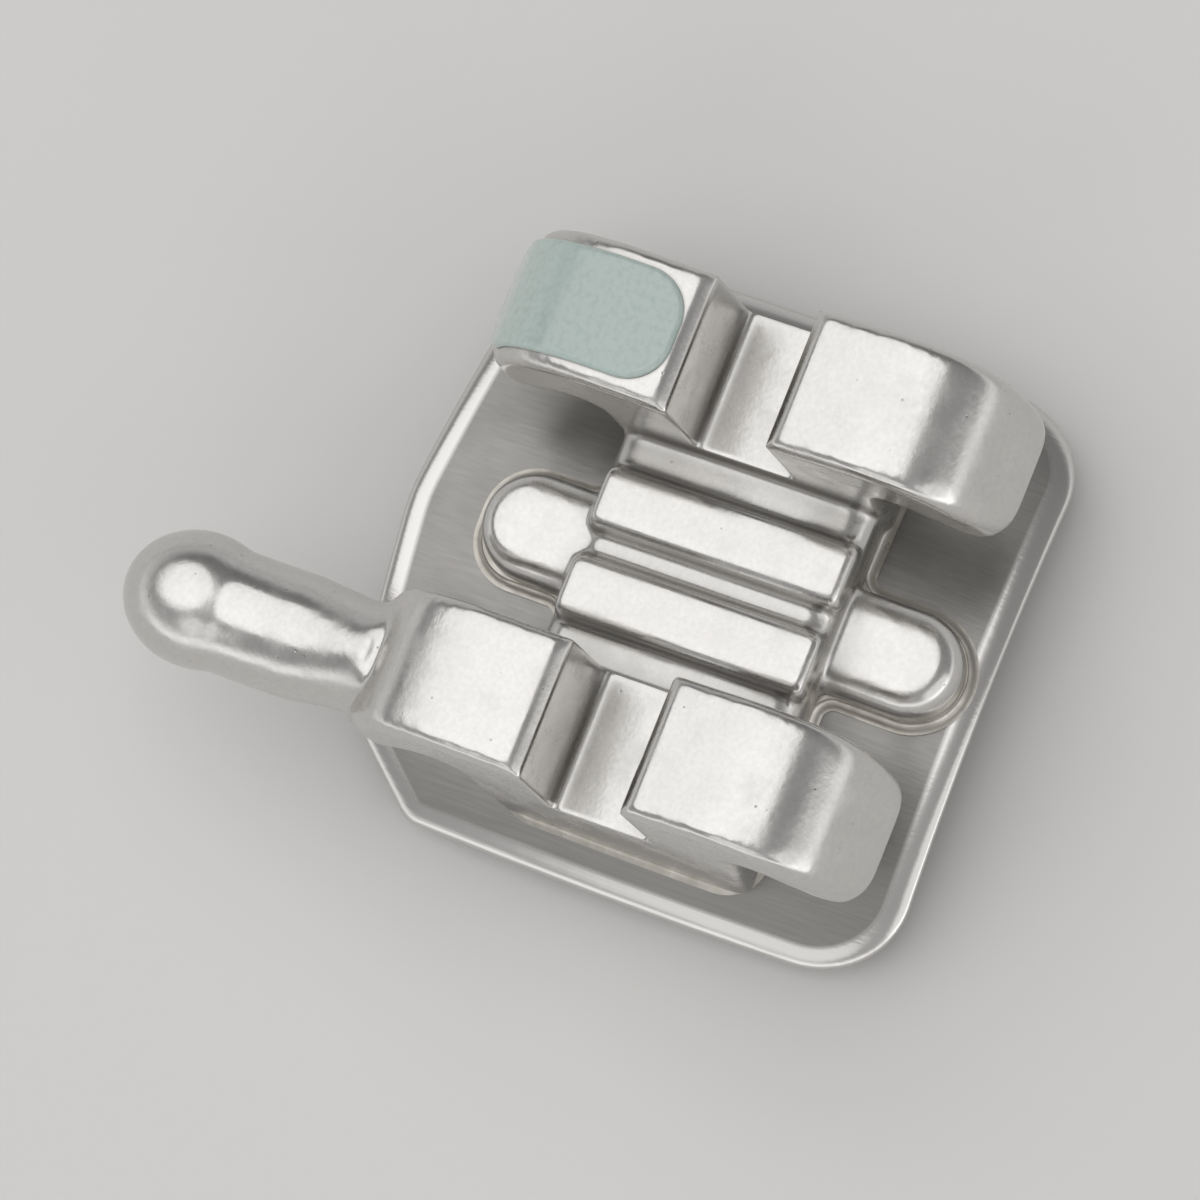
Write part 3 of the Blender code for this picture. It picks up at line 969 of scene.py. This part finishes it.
@dataclass
class TieWings:
    """A pair of tie wings on its stem: a ram's-horn profile, cut through by the archwire slot."""

    foot_shift: float
    span: float = 3.02
    width: float = 0.76
    crown: float = 0.07
    crown_at: float = 0.80
    shoulder_drop: float = 0.12
    shoulder_inset: float = 0.29
    tip_drop: float = 0.75
    tip_inset: float = 0.20
    tip_rise: float = 0.10
    tip_round: float = 0.09
    crown_round: float = 0.60
    shoulder_round: float = 0.50
    plan_corner: float = 0.27
    edge: float = 0.05
    stem_width: float = 1.64
    foot_width: float = 1.38
    foot_round: float = 0.20
    foot_drop: float = 0.84
    undercut_height: float = 0.34
    undercut_round: float = 0.12
    slot_width: float = 0.56
    slot_depth: float = 0.71
    lead_in: float = 0.05

    def stem_side(self, towards: Towards, height: float) -> float:
        """Where a side of the stem is.

        Args:
            towards: The side.
            height: A height over the slot's floor.

        Returns:
            Its y at that height.
        """
        foot = towards.value * self.foot_width / 2 + self.foot_shift
        neck = towards.value * self.stem_width / 2
        climb = self.undercut_height + self.foot_drop
        return foot + (neck - foot) * (height + self.foot_drop) / climb

    def outline(self) -> Outline:
        """Draw the pair seen along the slot.

        Returns:
            Its outline in the slot's frame.
        """
        half_span = self.span / 2
        top = self.slot_depth
        foot = -self.foot_drop
        shoulder = half_span - self.shoulder_inset
        tip = top - self.tip_drop
        wing = [
            (self.stem_width / 2, self.undercut_height, self.undercut_round),
            (half_span - self.tip_inset, tip, self.tip_round),
            (half_span, tip + self.tip_rise, self.tip_round),
            (shoulder, top - self.shoulder_drop + self.crown, self.shoulder_round),
            (self.crown_at, top + self.crown, self.crown_round),
            (self.slot_width / 2, top, 0),
        ]
        gum_foot = (self.stem_side(Towards.GUM, foot), foot, self.foot_round)
        bite_foot = (self.stem_side(Towards.BITE, foot), foot, self.foot_round)
        return rounded_outline([gum_foot, *mirrored(wing), bite_foot])

    def slot_outline(self) -> Outline:
        """Draw the slot with a chamfer at its mouth, seen along it.

        Returns:
            Its outline in the slot's frame, which runs on past the mouth.
        """
        half_width = self.slot_width / 2
        past = self.slot_depth
        return rounded_outline(mirrored([
            (half_width, 0, 0),
            (half_width, self.slot_depth - self.lead_in, 0),
            (half_width + self.lead_in + past, self.slot_depth + past, 0),
        ]))

    def solid(self, centre: float, name: str) -> Object:
        """Build one pair.

        Args:
            centre: How far along the archwire its middle lies.
            name: The object's name.

        Returns:
            The pair in the slot's frame.
        """
        place = (centre, 0, 0)
        pair = prism(name, self.outline(), self.width, Turned.ALONG_SLOT, place, self.edge)
        half_span = self.span / 2
        plan = rounded_outline(rectangle(self.width, -half_span, half_span, self.plan_corner))
        height = 2 * (self.slot_depth + self.foot_drop)
        trim = prism(name + "_plan", plan, height, Turned.FROM_ABOVE, place)
        pair = combined(pair, trim, Change.KEEPS_SHARED, name)
        through = 2 * self.width
        slot = prism(name + "_slot", self.slot_outline(), through, Turned.ALONG_SLOT, place)
        return combined(pair, slot, Change.CUTS_AWAY, name)


@dataclass
class Saddle:
    """The block between the pairs, its two rails with the scribe line between, and the lobes."""

    drop: float = 0.13
    setback: float = 0.03
    round: float = 0.16
    rail_width: float = 0.36
    rail_length: float = 1.42
    rail_drop: float = 0.03
    rail_round: float = 0.08
    scribe_width: float = 0.13
    lobe_width: float = 0.56
    lobe_gum_reach: float = 1.26
    lobe_bite_reach: float = 1.38
    lobe_drop: float = 0.24
    lobe_round: float = 0.14

    def solids(self, wings: TieWings, spacing: float) -> list[Object]:
        """Build the block and its rails.

        Args:
            wings: The pairs that it joins, for the sides of their stem.
            spacing: From the middle of one pair to the middle of the other.

        Returns:
            The pieces in the slot's frame, which overlap.
        """
        places = [
            (Towards.GUM, -wings.foot_drop, 0.0),
            (Towards.GUM, -self.drop, self.round),
            (Towards.BITE, -self.drop, self.round),
            (Towards.BITE, -wings.foot_drop, 0.0),
        ]
        block = rounded_outline([
            (wings.stem_side(towards, height) - towards.value * self.setback, height, radius)
            for towards, height, radius in places
        ])
        pieces = [prism("saddle_block", block, spacing, Turned.ALONG_SLOT)]
        root = -self.drop - self.round / 2
        section = rounded_outline(mirrored([
            (self.rail_width / 2, root, 0.0),
            (self.rail_width / 2, -self.rail_drop, self.rail_round),
        ]))
        for side in Side:
            place = (side.value * (self.scribe_width + self.rail_width) / 2, 0, 0)
            name = f"{side.name.lower()}_rail"
            pieces.append(
                prism(name, section, self.rail_length, Turned.FROM_GUM, place, wings.edge)
            )
        return pieces

    def lobes(self, wings: TieWings, floor_height: float) -> Object:
        """Build the foot's lobes on the gum and bite sides.

        Args:
            wings: The pairs whose foot they widen.
            floor_height: How high the slot's floor lies over the base.

        Returns:
            Both lobes as one piece, upright in the base's frame.
        """
        depth = 2 * wings.foot_drop
        plan = rounded_outline(rectangle(
            self.lobe_width, -self.lobe_bite_reach, self.lobe_gum_reach, self.lobe_width / 2,
        ))
        place = (0, 0, floor_height - self.lobe_drop - depth / 2)
        return prism("foot_lobes", plan, depth, Turned.FROM_ABOVE, place, self.lobe_round)


@dataclass
class BallHook:
    """The hook: a short curved neck out of one wing tip, which ends in a flattened ball."""

    reach: float = 2.80
    root: float = 0.54
    neck: float = 0.66
    full_at: float = 0.5
    ball: Corner = (0.72, 0.82, 0.70)
    root_height: float = 0.34
    dip: float = 0.10
    steps: int = 24
    sides: int = 40

    def solids(self, wings: TieWings, centre: float) -> list[Object]:
        """Build the neck and the ball.

        Args:
            wings: The pair that it grows from.
            centre: How far along the archwire that pair lies.

        Returns:
            The two pieces in the slot's frame, which overlap.
        """
        root = Vector((centre, wings.span / 2 - wings.shoulder_inset, self.root_height))
        end = Vector((centre, self.reach - self.ball[1] / 2, self.root_height - self.dip))
        path, radii = [], []
        for step in range(self.steps + 1):
            part = step / self.steps
            sag = Vector((0, 0, -self.dip * math.sin(math.pi * part)))
            path.append(root.lerp(end, part) + sag)
            radii.append(np.interp(part, (0.0, self.full_at), (self.root, self.neck)) / 2)
        neck = swept("hook_neck", path, radii, self.sides)
        work = bmesh.new()
        bmesh.ops.create_uvsphere(
            work, u_segments=self.sides, v_segments=self.sides // 2, radius=HALF_UNIT,
        )
        bmesh.ops.scale(work, vec=self.ball, verts=work.verts)
        bmesh.ops.translate(work, vec=end, verts=work.verts)
        return [neck, from_work(work, "hook_ball")]


@dataclass(frozen=True)
class Tumbling:
    """How far the media wears the body down, by where it strikes and what shelters it.

    Each zone lists places in millimetres with the share of the full wear at each of them.
    """

    passes: int = 70
    from_tip: Zone = ((-0.45, 0.35), (-0.15, 1.0))
    over_floor: Zone = ((-0.15, 0.0), (0.05, 1.0))
    from_slot: Zone = ((0.0, 0.12), (0.16, 1.0))
    at_hook: Zone = ((-0.42, 1.0), (-0.30, 0.40), (0.0, 0.40), (0.20, 0.06))

    @staticmethod
    def share(zone: Zone, at: float, start: float = 0.0) -> float:
        """The share that a zone gives at a place, if its places count from a start."""
        places, shares = zip(*zone)
        return float(np.interp(at, [start + place for place in places], shares))

    def wear(self, point: Vector, wings: TieWings) -> float:
        """How strongly a point of the body is worn.

        Args:
            point: The point in the slot's frame.
            wings: The pairs of wings, for their span and their slot.

        Returns:
            From 0 for a sheltered point to 1 for a fully exposed one.
        """
        half_span = wings.span / 2
        out = self.share(self.from_tip, abs(point.y), half_span)
        if point.x * Side.LEFT.value > 0 and point.y * Towards.GUM.value > 0:
            out *= self.share(self.at_hook, point.y, half_span)
        up = self.share(self.over_floor, point.z)
        return out * (up * self.share(self.from_slot, abs(point.y) - wings.slot_width / 2))


@dataclass
class BracketBody:
    """The moulded body: two pairs of tie wings, saddle, foot lobes and hook as one piece."""

    bench: Bench
    wings: TieWings
    saddle: Saddle = field(default_factory=Saddle)
    hook: BallHook = field(default_factory=BallHook)
    tumbling: Tumbling = field(default_factory=Tumbling)
    finish: TumbledSteel = field(default_factory=TumbledSteel)
    voxel: float = 0.020
    passes: int = 5
    foot_gap: float = 0.062
    sheet: Span = (3.8, 3.9)
    sheet_faces: tuple[int, int] = (48, 32)

    def build(self) -> Object:
        """Build the body, wear it as tumbling does and cut its foot to the base.

        Returns:
            The finished piece.
        """
        slot = self.bench.slot
        pieces = [
            self.wings.solid(side.value * slot.half_spacing, f"{side.name.lower()}_wings")
            for side in Side
        ]
        pieces += self.saddle.solids(self.wings, 2 * slot.half_spacing)
        pieces += self.hook.solids(self.wings, Side.LEFT.value * slot.half_spacing)
        lobes = self.saddle.lobes(self.wings, self.bench.tooth.floor_height)
        lobes.data.transform(self.bench.lean().inverted())
        # The skin's grid has to lie square to the wings, or their edges come out in steps.
        raw = joined([*pieces, lobes], "body_raw")
        body = self.tumbled(fused(raw, self.voxel, self.passes, "body_skin"))
        body.data.transform(self.bench.lean())
        body = combined(body, self.foot_form(), Change.CUTS_AWAY, "moulded_body")
        return self.bench.shown(body, self.finish, "bracket_body", "moulded_steel")

    def tumbled(self, body: Object) -> Object:
        """Round the wings' tops and tips further, where the media strikes them most.

        Args:
            body: The fused body in the slot's frame.

        Returns:
            The body with its most exposed edges rounded.
        """
        exposed = body.vertex_groups.new(name="exposed")
        for vertex in body.data.vertices:
            exposed.add([vertex.index], self.tumbling.wear(vertex.co, self.wings), "REPLACE")
        passes = self.tumbling.passes
        modify(body, "SMOOTH", vertex_group=exposed.name, factor=SMOOTH_FACTOR, iterations=passes)
        return evaluated_copy(body, "tumbled_body")

    def foot_form(self) -> Object:
        """Build the pressed block that the foot is cut to.

        Returns:
            A thick curved block whose top lies just over the base, in the base's frame.
        """
        work = bmesh.new()
        across, along = self.sheet_faces
        bmesh.ops.create_grid(work, x_segments=across, y_segments=along, size=HALF_UNIT)
        bmesh.ops.scale(work, vec=(*self.sheet, 1), verts=work.verts)
        sheet = from_work(work, "foot_sheet")
        for vertex in sheet.data.vertices:
            vertex.co.z = self.foot_gap
        modify(sheet, "SOLIDIFY", thickness=2 * self.wings.foot_drop, offset=-1)
        block = evaluated_copy(sheet, "foot_form")
        self.bench.tooth.press(block)
        return block


@dataclass
class BondingBase:
    """The bonding base: the pressed foil, the woven mesh under it and the braze on it."""

    bench: Bench
    width: float = 3.36
    gum_reach: float = 1.75
    bite_reach: float = 1.50
    bite_corner: float = 0.50
    chamfer: Span = (0.44, 0.46)
    chamfer_round: float = 0.16
    gum_bow: float = 0.12
    gum_round: float = 0.90
    rim_width: float = 0.14
    rim_drop: float = 0.04
    rim_steps: int = 8
    burr: float = 0.012
    foil_thickness: float = 0.08
    hairline: float = 0.006
    plate_step: float = 0.06
    plate_rings: int = 26
    wire: float = 0.15
    wire_sides: int = 16
    wire_steps: int = 120
    pitch: float = 0.44
    crimp: float = 0.035
    mesh_inset: float = 0.05
    mesh_voxel: float = 0.018
    mesh_passes: int = 3
    braze_spread: float = 0.06
    braze_thickness: float = 0.05
    braze_corner: float = 0.24
    braze_skin: float = 0.01
    foil_finish: RolledFoil = field(default_factory=RolledFoil)
    wire_finish: SinteredWire = field(default_factory=SinteredWire)
    braze_finish: SilverBraze = field(default_factory=SilverBraze)

    def outline(self, inset: float) -> Outline:
        """Draw the base before it is pressed, seen from above.

        Args:
            inset: How far inside the base's edge it is drawn.

        Returns:
            The outline in the flat base's frame.
        """
        half_width = self.width / 2 - inset
        gum = self.gum_reach - inset
        bite = self.bite_reach - inset
        shoulder = gum - self.gum_bow
        right_half = [
            (half_width, -bite, self.bite_corner),
            (half_width, shoulder - self.chamfer[1], self.chamfer_round),
            (half_width - self.chamfer[0], shoulder, self.chamfer_round),
        ]
        left_half = [(-u, v, radius) for u, v, radius in reversed(right_half)]
        return rounded_outline(right_half + [(0, gum, self.gum_round)] + left_half)

    def plate(self, name: str, outline: Outline, rim: list[Span]) -> Object:
        """Build a flat plate with a shaped rim, finely meshed, and press it.

        Args:
            name: The object's name.
            outline: Its outline, anticlockwise; every point is seen from the middle.
            rim: How far in and how high the rim's points lie, from the lower face to the upper.

        Returns:
            The pressed plate in the base's frame.
        """
        outline = refined(outline, self.plate_step)
        middle = Vector((0, sum(point.y for point in outline) / len(outline)))
        rings = self.plate_rings
        shares = [(number + 1) / rings for number in range(rings)]

        def face(inset: float, height: float, shares: Iterable[float]) -> list[list[Vector]]:
            """The rings of one of its two sides."""
            edge = grown(outline, -inset)
            return [[(*middle.lerp(point, share), height) for point in edge] for share in shares]

        loops = face(*rim[0], shares)
        loops += [
            [(*point, height) for point in grown(outline, -inset)] for inset, height in rim[1:-1]
        ]
        loops += face(*rim[-1], reversed(shares))
        work = bmesh.new()
        burnished = work.verts.layers.float.new("burnished")
        ringed = [[work.verts.new(point) for point in loop] for loop in loops]
        for ring in ringed[rings:len(ringed) - rings]:
            for vert in ring:
                vert[burnished] = 1.0
        close_rings(work, ringed)
        made = from_work(work, name)
        self.bench.tooth.press(made)
        return made

    def foil(self) -> Object:
        """Build the foil with its rim coined down towards the tooth.

        Returns:
            The finished piece.
        """
        bottom = -self.foil_thickness
        lower, upper = [], []
        for turn in quarter_turn(self.rim_steps):
            sine, cosine = math.sin(turn), math.cos(turn)
            lower.append((self.burr * (1 - sine), bottom + self.burr * (1 - cosine)))
            upper.append((self.rim_width * (1 - cosine), -self.rim_drop * (1 - sine)))
        piece = self.plate("pressed_foil", self.outline(0), lower + upper)
        return self.bench.shown(piece, self.foil_finish, "base_foil", "steel_foil")

    def limits(self, outline: Outline, place: float, run: Run) -> Span:
        """Where a line across an outline enters and leaves it.

        Args:
            outline: The outline.
            place: The line's coordinate on the other axis.
            run: The way that the line runs.

        Returns:
            The lowest and highest coordinate along the line.
        """
        axis = run.value
        crossings = []
        for _, point, onward in neighbours(outline):
            here, there = point[1 - axis], onward[1 - axis]
            if (here - place) * (there - place) <= 0 and here != there:
                part = (place - here) / (there - here)
                crossings.append(point[axis] + part * (onward[axis] - point[axis]))
        return min(crossings), max(crossings)

    def offsets(self, width: float) -> list[float]:
        """Where the whole wires that a width holds lie, evenly about its middle."""
        count = int((width - self.wire) / self.pitch) + 1
        return [(index - (count - 1) / 2) * self.pitch for index in range(count)]

    def wires(self, lines: list[float], start: float, run: Run, weave: Weave) -> list[Object]:
        """Build parallel crimped wires whose ends are cut flush with the outline.

        Args:
            lines: The coordinate of each wire on the other axis.
            start: A coordinate along the wires at which they are crossed.
            run: The way that they run.
            weave: How the first of them passes the first crossing.

        Returns:
            The wires in the flat base's frame.
        """
        outline = self.outline(self.mesh_inset)
        radius = self.wire / 2
        level = -self.foil_thickness - self.hairline - radius - self.crimp
        angles = [2 * math.pi * number / self.wire_sides for number in range(self.wire_sides)]
        made = []
        for row, line in enumerate(lines):
            around = []
            for angle in angles:
                across = line + radius * math.cos(angle)
                around.append((across, radius * math.sin(angle), self.limits(outline, across, run)))
            work = bmesh.new()
            rings = []
            for step in range(self.wire_steps + 1):
                ring = []
                for across, rise, (low, high) in around:
                    along = low + (high - low) * step / self.wire_steps
                    wave = math.cos(math.pi * ((along - start) / self.pitch + row)) * weave.value
                    place = (along, across) if run is Run.ALONG_SLOT else (across, along)
                    ring.append(work.verts.new((*place, level + self.crimp * wave + rise)))
                rings.append(ring)
            close_rings(work, rings)
            made.append(from_work(work, f"wire_{run.name.lower()}_{row}"))
        return made

    def mesh(self) -> Object:
        """Build the woven mesh, sintered where its wires cross.

        Returns:
            The finished piece.
        """
        middle = (self.gum_reach - self.bite_reach) / 2
        length = self.gum_reach + self.bite_reach - 2 * self.mesh_inset
        columns = self.offsets(self.width - 2 * self.mesh_inset)
        rows = [middle + offset for offset in self.offsets(length)]
        wires = self.wires(rows, columns[0], Run.ALONG_SLOT, Weave.OVER)
        wires += self.wires(columns, rows[0], Run.TO_GUM, Weave.UNDER)
        woven = joined(wires, "woven_wires")
        self.bench.tooth.press(woven)
        piece = fused(woven, self.mesh_voxel, self.mesh_passes, "woven_mesh")
        return self.bench.shown(piece, self.wire_finish, "base_mesh", "steel_wire")

    def braze(self, wings: TieWings, saddle: Saddle) -> Object:
        """Build the braze, which shows as a bead round the foot.

        Args:
            wings: The pairs whose feet it holds.
            saddle: The saddle, for the lobes of the foot.

        Returns:
            The finished piece.
        """
        spread, skin, corner = self.braze_spread, self.braze_skin, self.braze_corner
        width = 2 * self.bench.slot.half_spacing + wings.width + 2 * spread
        reach = wings.foot_width / 2 + spread
        lobe = saddle.lobe_width / 2 + spread
        outline = rounded_outline(mirrored([
            (lobe, -saddle.lobe_bite_reach - spread, lobe),
            (lobe, -reach, spread),
            (width / 2, -reach, corner),
            (width / 2, reach, corner),
            (lobe, reach, spread),
            (lobe, saddle.lobe_gum_reach + spread, lobe),
        ]))
        rim = [(skin, self.hairline), (0.0, self.hairline + skin)]
        for turn in quarter_turn(self.rim_steps)[1:]:
            rise = (self.braze_thickness - skin) * (1 - math.cos(turn))
            rim.append((spread * math.sin(turn), self.hairline + skin + rise))
        piece = self.plate("braze_bead", outline, rim)
        return self.bench.shown(piece, self.braze_finish, "braze_seam", "silver_braze")


@dataclass(frozen=True)
class TopProfile:
    """The profile of a wing's top from the slot to the tip, by the distance along it."""

    stations: list[float]
    ys: list[float]
    zs: list[float]
    step: float = 0.01

    @classmethod
    def of(cls, wings: TieWings, raised: float) -> "TopProfile":
        """Read the profile from the wings' outline.

        Args:
            wings: The pair that the wing belongs to.
            raised: A small growth of the outline that tells its top from its underside.

        Returns:
            The profile on the gum side, in the slot's frame.
        """
        outline = wings.outline()
        top = [
            point for point, up in zip(outline, grown(outline, raised))
            if point.x > 0 and up.y > point.y
        ]
        top.sort(key=lambda point: point.x)
        stations = [0.0]
        for behind, ahead in zip(top, top[1:]):
            stations.append(stations[-1] + (ahead - behind).length)
        return cls(stations, [point.x for point in top], [point.y for point in top])

    def station(self, y: float) -> float:
        """How far along the profile a place lies."""
        return float(np.interp(y, self.ys, self.stations))

    def at(self, station: float) -> Span:
        """The profile's y and z at a station."""
        return tuple(float(np.interp(station, self.stations, axis)) for axis in (self.ys, self.zs))

    def normal(self, station: float) -> Vector:
        """The direction straight out of the profile.

        Args:
            station: The distance along it.

        Returns:
            A vector of length 1 in the slot's frame.
        """
        ahead, behind = self.at(station + self.step), self.at(station - self.step)
        slope = Vector((ahead[0] - behind[0], ahead[1] - behind[1])).normalized()
        return Vector((0, -slope.y, slope.x))


@dataclass
class EnamelMark:
    """The enamel mark: a thin domed patch over the top of one wing."""

    bench: Bench
    wings: TieWings
    thickness: float = 0.030
    hairline: float = 0.006
    margin: float = 0.03
    slot_margin: float = 0.07
    tip_margin: float = 0.09
    corner: float = 0.24
    reach: float = 0.15
    step: float = 0.03
    rings: int = 22
    rim_steps: int = 8
    finish: FiredEnamel = field(default_factory=FiredEnamel)

    def build(self, body: Object) -> Object:
        """Build the patch.

        Args:
            body: The finished body, whose tumbled wing the enamel lies on.

        Returns:
            The finished piece.
        """
        to_slot = self.bench.slot.matrix().inverted() @ Matrix.Scale(1 / MM, 4)
        corners = [to_slot @ vertex.co for vertex in body.data.vertices]
        wing = BVHTree.FromPolygons(corners, [face.vertices for face in body.data.polygons])
        profile = TopProfile.of(self.wings, self.hairline)
        work = bmesh.new()
        close_rings(work, [
            [work.verts.new(self.laid(point, height, profile, wing)) for point in loop]
            for loop, height in self.levels(profile)
        ])
        piece = from_work(work, "enamel_patch")
        place = self.bench.slot.matrix()
        return self.bench.shown(piece, self.finish, "id_mark", "green_enamel", place)

    def levels(self, profile: TopProfile) -> list[tuple[Outline, float]]:
        """The rings of the flat patch, each with its height over the wing.

        Args:
            profile: The profile of the wing's top.

        Returns:
            The rings of the lower face from the middle out, the domed edge and the upper face.
        """
        near = profile.station(self.wings.slot_width / 2 + self.slot_margin)
        far = profile.station(self.wings.span / 2 - self.tip_margin)
        width = self.wings.width - 2 * (self.wings.edge + self.margin)
        plan = refined(rounded_outline(rectangle(width, near, far, self.corner)), self.step)
        middle = Vector((0, (near + far) / 2))
        inner = grown(plan, -self.thickness)
        levels = []
        for number in range(1, self.rings + 1):
            ring = [middle.lerp(point, number / self.rings) for point in plan]
            levels.append((ring, self.hairline))
        for turn in quarter_turn(self.rim_steps)[1:]:
            ring = grown(plan, -self.thickness * (1 - math.cos(turn)))
            levels.append((ring, self.hairline + self.thickness * math.sin(turn)))
        for number in range(self.rings - 1, 0, -1):
            ring = [middle.lerp(point, number / self.rings) for point in inner]
            levels.append((ring, self.hairline + self.thickness))
        return levels

    def laid(
        self, point: Vector, height: float, profile: TopProfile, wing: BVHTree,
    ) -> Vector:
        """Lay a point of the flat patch on the wing.

        Args:
            point: Across the wing, and the distance along its top from the slot.
            height: How far over the wing's surface it lies.
            profile: The profile of the wing's top.
            wing: The surface that the enamel lies on, in the slot's frame.

        Returns:
            The point in the slot's frame.
        """
        x = Side.RIGHT.value * self.bench.slot.half_spacing + point.x
        drawn = Vector((x, *profile.at(point.y)))
        normal = profile.normal(point.y)
        found, *_ = wing.ray_cast(drawn + normal * self.reach, -normal, 2 * self.reach)
        return (found or drawn) + normal * height


@dataclass(frozen=True)
class Lamp:
    """A round soft lamp that faces the bracket.

    Its brightness is that of its face, where 1 is as bright as a white page looks. The room
    shines through it, so steel that mirrors a lamp shows the lamp and the room together.
    """

    name: str
    towards: Corner
    size: float
    brightness: float
    distance: float = 0.06

    def hang(self) -> None:
        """Put the lamp into the scene."""
        data = bpy.data.lights.new(self.name, "AREA")
        data.shape = "DISK"
        data.size = self.size
        data.energy = self.brightness * math.pi * math.pi * (self.size / 2) ** 2
        away = Vector(self.towards).normalized()
        turn = away.to_track_quat("Z", "Y").to_matrix().to_4x4()
        lamp = new_object(self.name, data)
        lamp.matrix_world = Matrix.Translation(away * self.distance) @ turn


@dataclass
class Studio:
    """A pale floor, soft light from above and the camera."""

    bench: Bench
    lean_left: float = math.radians(8.6)
    lean_bite: float = math.radians(19.0)
    hook_turn: float = math.radians(161.0)
    lens: float = 300.0
    sensor: float = 36.0
    fill: float = 0.80
    # How near it sees, as a share of its distance, and how far, in metres.
    nearest: float = 0.05
    farthest: float = 10.0
    floor_colour: str = "#E0DFDD"
    floor_roughness: float = 0.9
    lamps: tuple[Lamp, ...] = (
        Lamp("key_lamp", (0.12, 0.36, 0.93), 0.090, 1.06),
        Lamp("side_lamp", (-0.78, -0.02, 0.60), 0.034, 0.60),
        Lamp("low_lamp", (-0.28, -0.82, 0.42), 0.056, 0.62),
    )
    # How bright the room is at each height, from the horizon at 0 to straight up at 1.
    room: Zone = ((0.0, 0.90), (0.20, 0.90), (0.38, 0.30), (0.85, 0.32), (1.0, 0.40))
    # The side that the room is lit from, and its strength on the far side and on this one.
    lit_side: Corner = (-0.92, -0.38, 0.0)
    lit_reach: float = 0.9
    lit_strength: Span = (0.62, 1.45)

    def view_axes(self) -> tuple[Vector, Vector, Vector]:
        """Find how the camera is turned.

        Returns:
            Its right, up and back directions on the bench.
        """
        turn = Matrix.Rotation(-self.bench.slot.torque, 3, "X")
        leaning = Vector((-math.tan(self.lean_left), -math.tan(self.lean_bite), 1))
        back = (turn @ leaning).normalized()
        gum = turn @ Vector((0, 1, 0))
        gum = (gum - back * gum.dot(back)).normalized()
        right = Matrix.Rotation(-self.hook_turn, 3, back) @ gum
        return right, back.cross(right), back

    def camera(self) -> None:
        """Place a long lens so that the bracket fills most of the frame, its hook to the left."""
        axes = self.view_axes()
        corners = [vertex.co for node in frame["nodes"].values() for vertex in node.data.vertices]
        seen = [[corner.dot(axis) for axis in axes] for corner in corners]
        low = [min(places) for places in zip(*seen)]
        high = [max(places) for places in zip(*seen)]
        target = sum((axis * (a + b) / 2 for axis, a, b in zip(axes, low, high)), Vector())
        shown = max(high[0] - low[0], high[1] - low[1]) / self.fill
        distance = shown * self.lens / self.sensor
        data = bpy.data.cameras.new("camera")
        data.lens = self.lens
        data.sensor_width = self.sensor
        data.clip_start = distance * self.nearest
        data.clip_end = self.farthest
        eye = new_object("camera", data)
        turn = Matrix(axes).transposed().to_4x4()
        eye.matrix_world = Matrix.Translation(target + axes[2] * distance) @ turn
        bpy.context.scene.camera = eye
        LOG.info("camera %.1f mm away", distance / MM)

    def floor(self) -> None:
        """Lay a matt pale floor, one metre square, under the lowest wires."""
        low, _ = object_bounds()
        work = bmesh.new()
        bmesh.ops.create_grid(work, x_segments=1, y_segments=1, size=HALF_UNIT)
        made = from_work(work, "floor")
        made.location.z = low[2]
        paint = bpy.data.materials.new("matt_floor")
        paint.use_nodes = True
        feed(paint.node_tree, paint.node_tree.nodes["Principled BSDF"], {
            "Base Color": linear(self.floor_colour), "Roughness": self.floor_roughness,
        })
        made.data.materials.append(paint)
        made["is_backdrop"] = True

    def light(self) -> None:
        """Hang the lamps and give the room its soft light."""
        for lamp in self.lamps:
            lamp.hang()
        world = bpy.context.scene.world or bpy.data.worlds.new("room")
        bpy.context.scene.world = world
        world.use_nodes = True
        tree = world.node_tree
        place = add_node(tree, "ShaderNodeTexCoord").outputs["Generated"]
        split = add_node(tree, "ShaderNodeSeparateXYZ", {"Vector": place})
        ramp = add_node(tree, "ShaderNodeValToRGB", {"Fac": split.outputs["Z"]})
        stops = ramp.color_ramp.elements
        for height, _ in self.room[1:-1]:
            stops.new(height)
        for stop, (_, level) in zip(stops, self.room):
            stop.color = (level, level, level, 1)
        lit = add_node(tree, "ShaderNodeVectorMath", {
            0: place, 1: self.lit_side,
        }, operation="DOT_PRODUCT")
        strength = add_node(tree, "ShaderNodeMapRange", {
            "Value": lit.outputs["Value"],
            "From Min": -self.lit_reach, "From Max": self.lit_reach,
            "To Min": self.lit_strength[0], "To Max": self.lit_strength[1],
        })
        feed(tree, tree.nodes["Background"], {
            "Color": ramp.outputs["Color"], "Strength": strength.outputs["Result"],
        })

    def set_up(self) -> None:
        """Set up camera, floor and light."""
        self.camera()
        self.floor()
        self.light()
        bpy.context.scene.view_settings.view_transform = "Standard"


def main() -> None:
    """Build every piece in order, set up the studio and note the sizes."""
    logging.basicConfig(level=logging.INFO, format="%(name)s: %(message)s")
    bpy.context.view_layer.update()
    bench = Bench(SlotPlace.from_record(frame["record"]), ToothForm())
    body = BracketBody(bench, TieWings(bench.foot_shift()))
    moulded = body.build()
    base = BondingBase(bench)
    base.foil()
    base.mesh()
    base.braze(body.wings, body.saddle)
    EnamelMark(bench, body.wings).build(moulded)
    Studio(bench).set_up()


if __name__ == "__main__":
    main()
